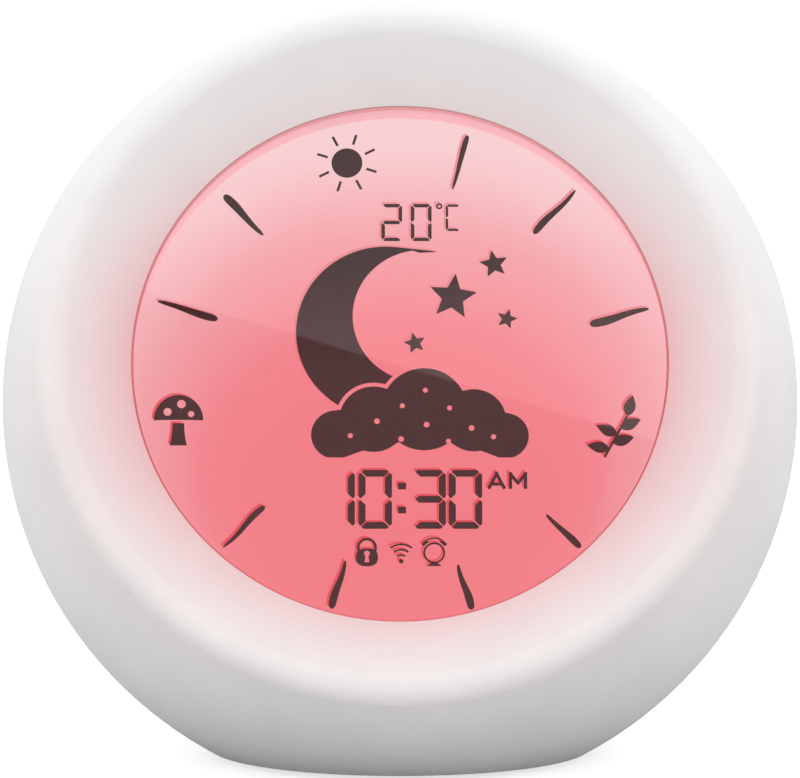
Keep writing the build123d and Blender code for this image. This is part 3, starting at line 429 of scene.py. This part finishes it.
# Strokes of the ring, one for each hour without a sign: clock angle in degrees, near and far end from the
# ring's middle, True where the far end is thick, how far the brush sways, and how broad it is. Those of the
# second group show no shadow.
STROKE_DROP = -0.48
STROKE_SHARES = (0.0, 0.1, 0.45, 0.75, 0.92, 0.98, 1.0)
STROKE_WIDTHS = (0.3, 0.6, 0.95, 1.25, 1.15, 0.8, 0.35)
STROKES = (
    (15.2, 35.0, 45.3, True, 0.06, 0.8), (42.4, 34.7, 45.5, False, -0.18, 1.0),
    (74.6, 34.3, 44.9, False, 0.15, 1.25), (195.7, 34.8, 43.6, True, -0.14, 1.1),
    (224.5, 33.3, 43.5, False, 0.2, 0.9), (287.5, 33.3, 44.2, False, -0.08, 1.1),
)
CLEAR_STROKES = (
    (135.0, 35.7, 44.0, True, 0.05, 1.0), (163.7, 35.6, 43.9, True, 0.15, 1.1),
    (316.7, 34.9, 44.9, True, -0.1, 1.2),
)


def stroke(clock_angle, near, far, thick_out, sway, broad):
    """Brush stroke along a radius: its width grows to one end, and its path sways as one sine wave."""
    share = np.linspace(0, 1, 32)
    turn = np.radians(clock_angle)
    along = np.array((np.sin(turn), np.cos(turn)))
    aside = np.array((np.cos(turn), -np.sin(turn)))
    path = np.outer(near + (far - near) * share, along) + np.outer(sway * np.sin(2 * np.pi * share), aside)
    widths = np.interp(share if thick_out else 1 - share, STROKE_SHARES, STROKE_WIDTHS)
    return band(path + (0, STROKE_DROP), broad * widths)


marks = [stroke(*values) for values in STROKES]
clear_marks = [stroke(*values) for values in CLEAR_STROKES]

# Sun sign: a disc with eight rays, without a shadow
SUN = np.array((-9.3, 38.15))
SUN_R = 2.7
RAY_SPAN = (3.55, 5.45)
RAY_W = 0.45
RAY_FIRST, RAY_STEP = 27.5, 45.0    # degrees
clear_marks.append(blob(*SUN, SUN_R))
for turn in np.radians(RAY_FIRST + RAY_STEP * np.arange(8)):
    ray = np.array((np.cos(turn), np.sin(turn)))
    clear_marks.append(band(straight(SUN + RAY_SPAN[0] * ray, SUN + RAY_SPAN[1] * ray), RAY_W))

# Sprig sign: a stem with five leaves, each given by its share along the stem and its angle
SPRIG_FOOT = np.array((35.4, -15.4))
SPRIG_TIP = np.array((39.4, -8.0))
STEM_W = 0.45
LEAF_L = 3.9
LEAF_W = 2.0
LEAVES = ((0.2, 170.0), (0.35, 15.0), (0.55, 155.0), (0.7, 25.0), (1.0, 75.0))


def leaf(root, turn, length, width):
    """Leaf: two edges that part as the sine of the share along it and meet at both ends."""
    share = np.linspace(0, 1, 16)
    along = np.array((np.cos(turn), np.sin(turn)))
    aside = np.array((-along[1], along[0]))
    middle = root + np.outer(length * share, along)
    half = np.outer(width / 2 * np.sin(np.pi * share**0.8) + HAIR / 2, aside)
    return strip(middle + half, middle - half)


marks.append(band(straight(SPRIG_FOOT, SPRIG_TIP, 16), STEM_W))
for share, turn in LEAVES:
    marks.append(leaf(SPRIG_FOOT + share * (SPRIG_TIP - SPRIG_FOOT), np.radians(turn), LEAF_L, LEAF_W))

# Toadstool sign: a half-round cap with three spots on a stem that widens downwards
STOOL = np.array((-38.4, -8.8))
CAP_SIZE = (4.3, 4.6)
CAP_SPOTS = ((-1.9, 1.5, 0.7), (0.5, 2.9, 0.75), (2.2, 1.1, 0.55))
STALK_HALF = (1.0, 1.5)     # half the stem's width, at its top and its foot
STALK_SPAN = (-0.5, -4.5)
cap = bow(0, 0, 1.0, 0, 180, 32) * CAP_SIZE
marks.append(strip(STOOL + cap * (1, HAIR), STOOL + cap))
share = np.linspace(0, 1, 12)
stem = np.column_stack((
    STALK_HALF[0] + (STALK_HALF[1] - STALK_HALF[0]) * share**2,
    STALK_SPAN[0] + (STALK_SPAN[1] - STALK_SPAN[0]) * share,
))
marks.append(strip(STOOL + stem, STOOL + stem * (-1, 1)))
spots = [blob(STOOL[0] + x, STOOL[1] + y, size) for x, y, size in CAP_SPOTS]

# Seven-segment figures: bars a to f run clockwise round the outline from the top, and g is the middle one
SEGMENTS = {"0": "abcdef", "1": "bc", "2": "abdeg", "3": "abcdg", "C": "adef"}
TIP_SHARE = 0.3             # how far a bar's tips lie inside its outer edge, of its thickness
NICK_SHARE = 0.3            # how far the side bars stop short of the middle, of the gap at the corners


def bar(first, last, thick):
    """Six-sided bar on the right of its run: a long outer edge, a shorter inner one, tips between them."""
    first, last = np.array(first), np.array(last)
    run = (last - first) / np.linalg.norm(last - first)
    inward = np.array((run[1], -run[0]))
    tip = TIP_SHARE * thick
    ends = np.array((first, first, last, last))
    outer = ends + np.outer((0, tip, -tip, 0), run) + np.outer((tip, 0, 0, tip), inward)
    deep = np.outer((tip + HAIR, thick, thick, tip + HAIR), inward)
    return strip(outer, ends + np.outer((0, thick - tip, tip - thick, 0), run) + deep)


def figure(sign, x, y, width, height, thick, gap):
    """Figure with its lower left corner at (x, y): each bar stops a gap short of the outline's corners."""
    right, top, middle = x + width, y + height, y + height / 2
    nick = NICK_SHARE * gap
    edges = {
        "a": ((x + gap, top), (right - gap, top)),
        "b": ((right, top - gap), (right, middle + nick)),
        "c": ((right, middle - nick), (right, y + gap)),
        "d": ((right - gap, y), (x + gap, y)),
        "e": ((x, y + gap), (x, middle - nick)),
        "f": ((x, middle + nick), (x, top - gap)),
    }
    made = [bar(*edges[name], thick) for name in SEGMENTS[sign] if name in edges]
    if "g" in SEGMENTS[sign]:
        left, end = x + gap, right - gap
        path = [(left, middle), (left + thick / 2, middle), (end - thick / 2, middle), (end, middle)]
        made.append(band(path, (HAIR, thick, thick, HAIR)))
    return made


# Time with its colon, and the warmth of the room above the picture
TIME_LOW = -28.25
TIME_PLACES = (("1", -13.57), ("0", -7.17), ("3", 2.15), ("0", 8.42))
TIME_CELL = (5.78, 10.55, 1.22, 0.52)   # width, height, thickness and gap of a figure
COLON = (-0.35, 1.05)
COLON_RISES = (3.35, 7.65)
COLON_H = 1.2
WARMTH_LOW = 23.8
WARMTH_PLACES = (("2", -3.25), ("0", 1.9))
WARMTH_CELL = (3.62, 6.8, 0.62, 0.31)
UNIT_X, UNIT_RISE = 8.0, 1.85
UNIT_CELL = (2.5, 4.85, 0.42, 0.21)
DEGREE_X, DEGREE_RISE = 6.85, 6.4
DEGREE_R, DEGREE_W = 0.42, 0.3
for sign, x in TIME_PLACES:
    marks += figure(sign, x, TIME_LOW, *TIME_CELL)
for rise in COLON_RISES:
    marks.append(band(straight((COLON[0], TIME_LOW + rise), (COLON[1], TIME_LOW + rise)), COLON_H))
for sign, x in WARMTH_PLACES:
    marks += figure(sign, x, WARMTH_LOW, *WARMTH_CELL)
marks += figure("C", UNIT_X, WARMTH_LOW + UNIT_RISE, *UNIT_CELL)
marks.append(band(bow(DEGREE_X, WARMTH_LOW + DEGREE_RISE, DEGREE_R, 0, 360), DEGREE_W))

# Letters AM after the time, as straight runs between two points
LETTER_W = 0.56
LOW, TOP = -21.1, -18.1
LETTER_RUNS = (
    ((15.3, LOW), (16.85, TOP)), ((16.55, TOP), (18.1, LOW)), ((15.8, LOW + 0.85), (17.6, LOW + 0.85)),
    ((19.1, LOW), (19.1, TOP)), ((19.0, TOP - 0.2), (20.5, LOW + 0.9)),
    ((20.3, LOW + 0.9), (21.8, TOP - 0.2)), ((21.7, TOP), (21.7, LOW)),
)
marks += [band(straight(*run), LETTER_W) for run in LETTER_RUNS]

# Signs under the time: a padlock, radio waves and an alarm clock
SIGN_Y = -32.35
PADLOCK_X, RADIO_X, ALARM_X = -5.7, 0.2, 5.9
LOCK_HALF = (1.9, 1.58)     # half the padlock's body, across and up
LOCK_POWER = 2.6            # squareness of its corners
SHACKLE_R, SHACKLE_W = 1.5, 0.46
KEYHOLE_R = 0.5
RADIO_Y = SIGN_Y - 1.69
RADIO_RADII = (1.1, 2.05, 3.0)
RADIO_DOT = 0.4
ALARM_Y = SIGN_Y - 0.2
ALARM_R = 1.72
BELL_R, BELL_W = 2.4, 0.6
GRIP_R, GRIP_W = 2.62, 0.26     # arc over the bells
LINE_W = 0.33


def lock_body(angle):
    """Radius of the padlock's body: the powers of its shares across and up add up to one."""
    shares = np.abs(np.column_stack((np.cos(angle), np.sin(angle))) / LOCK_HALF)
    return (shares**LOCK_POWER).sum(1) ** (-1 / LOCK_POWER)


marks.append(blob(PADLOCK_X, SIGN_Y - 1.0, lock_body))
marks.append(band(bow(PADLOCK_X, SIGN_Y + 0.75, SHACKLE_R, -25, 205), SHACKLE_W))
spots.append(blob(PADLOCK_X, SIGN_Y - 0.35, KEYHOLE_R, 24))
slot_side = np.array(((0.2, SIGN_Y - 0.45), (0.42, SIGN_Y - 1.9)))
spots.append(strip((PADLOCK_X, 0) + slot_side, (PADLOCK_X, 0) + slot_side * (-1, 1)))
marks += [band(bow(RADIO_X, RADIO_Y, radius, 128, 52), LINE_W) for radius in RADIO_RADII]
marks.append(blob(RADIO_X, RADIO_Y, RADIO_DOT, 24))
marks.append(band(bow(ALARM_X, ALARM_Y, ALARM_R, 0, 360, 48), LINE_W))
marks.append(band(bow(ALARM_X, ALARM_Y, GRIP_R, 118, 62, 16), GRIP_W))
marks.append(band(bow(ALARM_X, ALARM_Y, BELL_R, 62, 34, 12), BELL_W))
marks.append(band(bow(ALARM_X, ALARM_Y, BELL_R, 118, 146, 12), BELL_W))
foot_half = np.array(((0.45, -1.75), (1.35, -2.35)))
marks.append(strip((ALARM_X, ALARM_Y) + foot_half, (ALARM_X, ALARM_Y) + foot_half * (-1, 1)))

# Picture in the middle: a crescent moon and stars behind a cloud, which clears a rim round itself
MOON = np.array((-2.5, 7.2))
MOON_R = 15.6
BITE_SHIFT = (6.3, 2.9)     # circle that cuts the crescent, from the moon's middle
BITE_R = 12.05
STARS = ((9.2, 13.6, 4.3, 1.45), (16.4, 19.6, 2.6, 1.75), (18.6, 9.6, 1.9, 1.3), (2.6, 5.2, 2.0, 1.8))
NOTCH_SHARE = 0.45          # notches of a star, of its points' radius
CLOUD = np.array((4.0, -9.4))
CLOUD_FOOT = 6.1            # flat underside below the cloud's middle
CLOUD_RIM = 0.7
LOBES = np.array((
    (-15.0, -2.0, 4.4), (-8.6, 0.8, 5.9), (0.2, 2.6, 7.4), (8.8, 0.6, 5.6), (14.2, -2.2, 4.1),
))
DROPS = (
    (-4.0, -9.0, 0.5), (0.4, -6.2, 0.45), (4.6, -9.6, 0.5), (8.6, -6.6, 0.45), (12.4, -10.2, 0.5),
    (-8.6, -11.6, 0.45), (0.2, -12.2, 0.5), (8.4, -12.6, 0.45), (4.4, -3.4, 0.45), (16.2, -11.8, 0.45),
)
moon_outer = bow(*MOON, MOON_R, 68, 296, 48)
moon_inner = bow(*(MOON + BITE_SHIFT), BITE_R, 72, 290, 48)
moon_inner[[0, -1]] = moon_outer[[0, -1]]
marks.append(strip(moon_inner, moon_outer))


def star(x, y, size, turn):
    """Five-pointed star: the radius follows the straight line from each point to the notch beside it."""
    fifth = np.pi / 5
    notch = NOTCH_SHARE * size
    bend = np.arctan2(notch * np.sin(fifth), size - notch * np.cos(fifth))

    def radius(angle):
        """Sine rule in the triangle of the middle, the point and the rim."""
        fold = np.abs((angle - turn + fifth) % (2 * fifth) - fifth)
        return size * np.sin(bend) / np.sin(np.pi - bend - fold)

    return blob(x, y, radius, 100)


def cloud(grow):
    """Cloud: along each ray the rim is the farthest of the lobes' circles, and flat below."""
    middle, size = LOBES[:, :2], LOBES[:, 2] + grow

    def radius(angle):
        """Farther root of the ray's meeting with each circle, and the foot's line below."""
        ray = np.column_stack((np.cos(angle), np.sin(angle)))
        along = ray @ middle.T
        root = along**2 - (middle**2).sum(1) + size**2
        reach = np.where(root > 0, along + np.sqrt(np.abs(root)), 0).max(1)
        return np.minimum(reach, (CLOUD_FOOT + grow) / np.maximum(-ray[:, 1], 1e-6))

    return blob(*CLOUD, radius, 360)


marks += [star(*values) for values in STARS]
clouds = [cloud(0.0)]
cuts = [cloud(CLOUD_RIM)]
spots += [blob(x, y, size, 24) for x, y, size in DROPS]


def joined(patches):
    """Points of all the patches in one array, and their faces with the point numbers moved to match."""
    firsts = np.cumsum([0] + [len(flat) for flat, faces in patches])
    faces = [face for first, (flat, part) in zip(firsts, patches) for face in (part + first).tolist()]
    return np.vstack([flat for flat, part in patches]), faces


def thin_piece(name, points, faces, material, body):
    """Flat piece one layer thick, thickened on the side its faces look to."""
    made = shape(name, points, faces, material)
    layer = made.modifiers.new("layer", "SOLIDIFY")
    layer.thickness = MARK_T * MM
    layer.offset = 1.0
    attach(made, body)


# The first layer is the painted red shadow, a copy of the marks shifted up and to the left
for name, patches, rise, shift, material in (
    ("mark_shadows", marks + clouds, SHADOW_UP, SHADOW_SHIFT, painted_red_shadow),
    ("marks", marks + clear_marks, MARK_UP, (0.0, 0.0), dark_crystal),
    ("mark_cuts", cuts, CUT_UP, (0.0, 0.0), field),
    ("mark_cloud", clouds, CLOUD_UP, (0.0, 0.0), dark_crystal),
    ("mark_spots", spots, SPOT_UP, (0.0, 0.0), field),
):
    flat, faces = joined(patches)
    thin_piece(name, on_dial(flat + shift, PANE_S + rise), faces, material, "clock")


# Back light: an opal acrylic sheet, a white polyester reflector with holes for the lamps, and fifteen
# colour lamps soldered to the board. A layered silicone strip joins the panes' contacts to the board.

# Opal acrylic: milky and softly glossy, so that the lamps melt into one field, whose rose light is painted
# on it as a tint and a glow
dress(
    plain_finish(
        "acrylic_opal_sheet", "#F6C6CA", "#F9D3D6", grain=0.6, depth=0.01, rough=0.4, swing=0.05,
        Emission_Color=srgb("#F5949B"), Emission_Strength=0.6,
    ),
    "diffuser",
)
# Polyester film: bright matt white
dress(
    plain_finish(
        "polyester_white_film", "#EDEDEC", "#F6F6F5",
        grain=0.5, depth=0.005, rough=0.5, swing=0.05,
    ),
    "reflector_sheet",
)
# Cast epoxy: glossy little windows, each a point of coral light
dress(
    plain_finish(
        "epoxy_lamp_casting", "#F6B0B4", "#FBC6C9", grain=0.3, depth=0.002, rough=0.2, swing=0.04,
        Emission_Color=srgb("#FF6B78"), Emission_Strength=1.5,
    ),
    "backlight_leds",
)
# Layered silicone: dull grey rubber
dress(
    plain_finish(
        "silicone_layered_strip", "#8A8A8C", "#A3A3A6",
        grain=0.2, depth=0.01, rough=0.7, swing=0.05,
    ),
    "zebra_strip",
)


# Boards and what they carry: glass-epoxy laminate under green solder mask, moulded packages, a wireless
# module in its can, and a flat cable between the two boards. Screws hold the boards to bosses.

# Solder mask: a thin glossy lacquer over the weave, dark green
dress(
    plain_finish(
        "glass_epoxy_solder_mask", "#14512F", "#1B5F39",
        grain=0.3, depth=0.01, rough=0.35, swing=0.06,
    ),
    "main_board", "control_board",
)
# Moulded epoxy: dull black with a fine tooth
dress(
    plain_finish(
        "epoxy_black_moulded", "#17171A", "#222226",
        grain=0.25, depth=0.01, rough=0.5, swing=0.06,
    ),
    "controller_chip", "switch_bodies", "lock_switch",
)
# Tinned sheet steel: bright and a little cloudy
dress(
    plain_finish(
        "steel_tinned_pressed", "#B3B3B2", "#C6C6C4",
        grain=0.3, depth=0.006, rough=0.3, swing=0.07, Metallic=1.0,
    ),
    "radio_module",
)
# Moulded nylon: cream, waxy and half matt
dress(
    plain_finish(
        "nylon_cream_moulded", "#D6D3C6", "#E2DFD4",
        grain=0.35, depth=0.01, rough=0.5, swing=0.06,
    ),
    "board_parts", "thermistor",
)
# Vinyl ribbon: smooth off-white with a soft shine
dress(
    plain_finish("cable_flat_vinyl", "#DEDDD8", "#EAE9E4", grain=0.5, depth=0.02, rough=0.45, swing=0.05),
    "link_cable",
)


# Screws: cold-headed steel with rolled threads, driven from behind through the rear shell and inside
# through the frame, the boards and the loudspeaker.

# Zinc plating: grey, silky and slightly uneven
dress(
    plain_finish(
        "steel_zinc_plated", "#A2A3A6", "#B9BABC",
        grain=0.2, depth=0.004, rough=0.32, swing=0.08, Metallic=1.0,
    ),
    "housing_screws", "frame_screws", "board_screws", "control_screws", "speaker_screws",
)


# Keys: five round caps with a finger dish, moulded in pale grey ABS and held behind the back wall by a
# collar. Each presses the plunger of a push switch, and a sign is pad-printed in its dish.
KEY_NAMES = ("light", "sound", "alarm", "minus", "plus")
KEY_ARC_R = 44.5            # arc of the keys about the ball's centre
KEY_STEP = 13.5 / KEY_ARC_R
BACK_Y = 34.0
DISH_Y = BACK_Y + 1.2 - 0.35
DISH_R = 14.0               # radius of the dish's curve
PRINT_UP = 0.02             # print above the plastic
KEY_SIGN_W = 0.62
KEY_SIGN_HALF = 1.7

# Grey ABS: the housing's satin, a shade darker
dress(
    plain_finish(
        "abs_grey_moulded", "#D9D8D8", "#E1E0E0",
        grain=SKIN_GRAIN, depth=SKIN_DEPTH, rough=0.45, swing=0.05,
    ),
    *[name + "_button" for name in KEY_NAMES],
)
# Black nylon: smooth and slightly waxy
dress(
    plain_finish(
        "nylon_black_moulded", "#1C1C1F", "#29292D",
        grain=0.3, depth=0.01, rough=0.45, swing=0.06,
    ),
    *[name + "_plunger" for name in KEY_NAMES],
)
# Pad-printed ink: a flat matt grey film
printed = plain_finish(
    "ink_grey_pad_printed", "#77757A", "#838187", grain=0.25, depth=0.004, rough=0.55, swing=0.05,
)

share = np.linspace(0, 1, 20)
bell_half = np.column_stack((
    np.interp(share, (0.0, 0.12, 0.4, 0.75, 0.9, 1.0), (0.3, 0.78, 1.0, 1.12, 1.4, 1.7)),
    1.65 - 2.6 * share,
))
flag_path = np.column_stack((-0.2 + 1.5 * share, 1.75 - 1.1 * share**2))
level_bar = band(straight((-KEY_SIGN_HALF, 0), (KEY_SIGN_HALF, 0), 16), KEY_SIGN_W)
upright_bar = band(straight((0, -KEY_SIGN_HALF), (0, KEY_SIGN_HALF), 16), KEY_SIGN_W)
KEY_SIGNS = {
    "light": [
        blob(0, 0.55, 1.35),
        strip([(-0.6, -0.95), (0.6, -0.95)], [(-0.6, -1.35), (0.6, -1.35)]),
        strip([(-0.45, -1.6), (0.45, -1.6)], [(-0.45, -2.0), (0.45, -2.0)]),
    ],
    "sound": [
        blob(-0.85, -1.35, lambda angle: 0.85 - 0.15 * np.cos(2 * angle)),
        band(straight((-0.2, -1.3), (-0.2, 1.9), 12), 0.36),
        band(flag_path, 0.5),
    ],
    "alarm": [strip(bell_half * (-1, 1), bell_half), blob(0, -1.5, 0.42, 24), blob(0, 1.8, 0.3, 24)],
    "minus": [level_bar],
    "plus": [level_bar, upright_bar],
}
for index, name in enumerate(KEY_NAMES):
    turn = np.pi / 2 + KEY_STEP * (2 - index)
    flat, faces = joined(KEY_SIGNS[name])
    # The dish rises with the square of the distance from its middle
    rise = DISH_Y + (flat**2).sum(1) / (2 * DISH_R) + PRINT_UP
    side = -KEY_ARC_R * np.cos(turn) - flat[:, 0]
    height = CENTRE_Z + KEY_ARC_R * np.sin(turn) + flat[:, 1]
    points = MM * np.column_stack((side, rise, height))
    thin_piece(name + "_sign", points, faces, printed, name + "_key")


# Lock knob and power inlet: a coral ABS slider with thumb grooves that runs in a slot of the back, and a
# drawn steel inlet soldered to the control board behind a recess.

# Coral ABS: satin, the colour of the lit dial
dress(
    plain_finish(
        "abs_coral_moulded", "#DE7F87", "#E58B92",
        grain=SKIN_GRAIN, depth=SKIN_DEPTH, rough=0.45, swing=0.05,
    ),
    "lock_knob",
)
# Drawn steel: bright, with the faint streaks of the die
dress(
    plain_finish(
        "steel_inlet_drawn", "#A9AAAC", "#BDBEC0",
        grain=0.2, depth=0.004, rough=0.28, swing=0.06, Metallic=1.0,
    ),
    "usb_jack",
)


# Loudspeaker: a pressed steel basket, a paper cone and a sintered magnet, screwed behind the grille. The
# cone just shows through the holes.

# Black paint: an even half-gloss coat
dress(
    plain_finish(
        "steel_black_painted", "#1B1B1C", "#252526",
        grain=0.4, depth=0.01, rough=0.4, swing=0.06,
    ),
    "speaker_basket",
)
# Paper pulp: dull and fibrous
dress(
    plain_finish(
        "paper_pulp_pressed", "#1E1D1C", "#2A2928",
        grain=0.5, depth=0.05, rough=0.85, swing=0.05,
    ),
    "speaker_cone",
)
# Ferrite: dark grey and gritty
dress(
    plain_finish("ferrite_sintered", "#2E2E30", "#3A3A3C", grain=0.3, depth=0.02, rough=0.6, swing=0.06),
    "speaker_magnet",
)


# Coin cell and its contacts: a drawn steel can in the tray under the door, on a sprung tongue and beside a
# clip, both cut and bent from strip.

# Nickel plating: warm, bright and smooth
dress(
    plain_finish(
        "steel_nickel_plated", "#B8B7B3", "#CAC9C5",
        grain=0.25, depth=0.004, rough=0.25, swing=0.07, Metallic=1.0,
    ),
    "coin_cell", "battery_contacts",
)


# Base pad: a disc of grey silicone rubber, moulded and pressed into a recess under the ball, so that the
# clock stands still. Only its edge shows.

# Silicone rubber: matt and a little dusty, a dark line under the ball
dress(
    plain_finish(
        "silicone_rubber_moulded", "#3B3A3B", "#4A4849",
        grain=0.5, depth=0.03, rough=0.8, swing=0.06, IOR=1.41,
    ),
    "base_pad",
)


# Floor: a wide sheet of white board on a table that is lit from below, as for a packshot. It runs on behind
# the clock to the horizon.
FLOOR_RADII = np.concatenate(([0.12], np.geomspace(0.25, 14.0, 12)))
FLOOR_POINTS = 96
BOARD_GRAIN = 2.0           # soft unevenness of pressed board, drawn coarser than its fibres
BOARD_GLOW = 0.69           # how bright the light from below makes it


def lit_board():
    """Matt board lit from below: near white to the eye, and it throws over half the light back."""
    material, tree = start("board_white_lit")
    tone, roughness, normal = skin(tree, BOARD_GRAIN, 0.01, rough=0.9, swing=0.03)
    seen = add(tree, "LightPath").outputs["Is Camera Ray"]
    inputs = {
        "Base Color": add(tree, "ValToRGB", (tone,), stops=((0.3, "#C2C2C2"), (0.7, "#C6C6C6"))),
        "Roughness": roughness,
        "Normal": normal,
        "Specular IOR Level": 0.1,
        "Emission Color": (1, 1, 1, 1),
        "Emission Strength": add(tree, "Math", (seen, BOARD_GLOW), operation="MULTIPLY"),
    }
    add(tree, "OutputMaterial", (add(tree, "BsdfPrincipled", inputs),))
    return material


turn = np.linspace(0, 2 * np.pi, FLOOR_POINTS, endpoint=False)
across, along = np.outer(FLOOR_RADII, np.cos(turn)).ravel(), np.outer(FLOOR_RADII, np.sin(turn)).ravel()
ring_starts = np.arange(len(FLOOR_RADII) - 1) * FLOOR_POINTS
ring, spot = np.meshgrid(ring_starts, np.arange(FLOOR_POINTS), indexing="ij")
beside = (spot + 1) % FLOOR_POINTS
corners = (ring + spot, ring + FLOOR_POINTS + spot, ring + FLOOR_POINTS + beside, ring + beside)
floor_faces = np.stack(corners, -1).reshape(-1, 4).tolist() + [list(range(FLOOR_POINTS))]
floor_points = np.column_stack((across, along, np.zeros(across.size)))
shape("floor", floor_points, floor_faces, lit_board())


# Light: even white surroundings, as in a light tent, and two softboxes before the clock, at its left and
# right, that model the ball and the funnel. A third one, above and behind, whitens the top of the ball.
SKY_STRENGTH = 1.06
DIAL_MIDDLE = np.array((0.0, -0.02, 0.075))
SOFT_TURN = np.radians(45.0)
SOFT_RISE = np.radians(12.0)
SOFT_FAR = 2.0
SOFT_SIZE = (1.2, 1.2)
SOFT_RADIANCE = 0.9
TOP_RISE = np.radians(52.0)
TOP_SIZE = (1.6, 1.2)
TOP_RADIANCE = 0.3

world = bpy.data.worlds.new("studio")
bpy.context.scene.world = world
world.use_nodes = True
world.node_tree.nodes.clear()
sky = add(world.node_tree, "Background", {"Color": (1, 1, 1, 1), "Strength": SKY_STRENGTH})
add(world.node_tree, "OutputWorld", (sky,))


def facing(turn, rise, roll=0.0):
    """Axes of a lamp seen from the clock at a turn from the front and a rise: its right, up and outward."""
    back = np.array((np.sin(turn) * np.cos(rise), -np.cos(turn) * np.cos(rise), np.sin(rise)))
    level = np.array((np.cos(turn), np.sin(turn), 0.0))
    steep = np.cross(back, level)
    return level * np.cos(roll) - steep * np.sin(roll), level * np.sin(roll) + steep * np.cos(roll), back


def softbox(name, middle, axes, size, radiance):
    """Rectangular lamp that shines against its outward axis: its power is pi times area times radiance."""
    lamp = bpy.data.lights.new(name, "AREA")
    lamp.shape = "RECTANGLE"
    lamp.size, lamp.size_y = size
    lamp.energy = np.pi * size[0] * size[1] * radiance
    made = bpy.data.objects.new(name, lamp)
    bpy.context.scene.collection.objects.link(made)
    place = np.vstack((np.column_stack((*axes, middle)), (0, 0, 0, 1)))
    made.matrix_world = Matrix(place.tolist())


for name, turn in (("softbox_left", -SOFT_TURN), ("softbox_right", SOFT_TURN)):
    axes = facing(turn, SOFT_RISE)
    softbox(name, DIAL_MIDDLE + SOFT_FAR * axes[2], axes, SOFT_SIZE, SOFT_RADIANCE)
axes = facing(np.pi, TOP_RISE)
softbox("softbox_top", DIAL_MIDDLE + SOFT_FAR * axes[2], axes, TOP_SIZE, TOP_RADIANCE)


# Mirror light: a dim strip box above the camera, rolled a little. Its lower edge is what the window mirrors
# as a slanting line, and a dark card behind it keeps the rest of the window clear.
STRIP_EDGE_RISE = np.radians(38.38)
STRIP_RISE = np.radians(64.0)
STRIP_ROLL = np.radians(18.0)
STRIP_FAR = 1.7
STRIP_SIZE = (0.9, 0.45)
STRIP_RADIANCE = 0.5
CARD_SPAN = (-0.4, 0.5)
CARD_BEHIND = 0.03

edge_middle = DIAL_MIDDLE + STRIP_FAR * facing(0.0, STRIP_EDGE_RISE)[2]
right, rise, back = facing(0.0, STRIP_RISE, STRIP_ROLL)
strip_middle = edge_middle + rise * STRIP_SIZE[1] / 2
softbox("strip_box", strip_middle, (right, rise, back), STRIP_SIZE, STRIP_RADIANCE)
across, along = np.meshgrid((-STRIP_SIZE[0] / 2, STRIP_SIZE[0] / 2), CARD_SPAN)
card_points = edge_middle + CARD_BEHIND * back + np.outer(across, right) + np.outer(along, rise)
# Matt card: even and dark, with no shine
card_finish = plain_finish(
    "card_dark_matt", "#2C2C2C", "#323232",
    grain=BOARD_GRAIN, depth=0.02, rough=0.9, swing=0.04,
)
shape("flag", card_points, [(0, 1, 3, 2)], card_finish)


# Camera: a long lens a little above the clock's middle, in front of the dial and square to the clock, so
# that the ball keeps its round outline.
VIEW_RISE = np.radians(5.65)
VIEW_FAR = 1.2
VIEW_AIM = np.array((0.0, 0.0, 0.0645))
LENS_MM = 306.3
SENSOR_MM = 36.0
SIGHT_FAR = 50.0            # how far the camera sees
camera = bpy.data.cameras.new("camera")
camera.sensor_width = SENSOR_MM
camera.sensor_fit = "HORIZONTAL"
camera.lens = LENS_MM
camera.clip_end = SIGHT_FAR
eye = bpy.data.objects.new("camera", camera)
bpy.context.scene.collection.objects.link(eye)
eye.location = VIEW_AIM + VIEW_FAR * np.array((0, -np.cos(VIEW_RISE), np.sin(VIEW_RISE)))
eye.rotation_euler = (np.pi / 2 - VIEW_RISE, 0, 0)
bpy.context.scene.camera = eye
bpy.context.scene.view_settings.view_transform = "Standard"
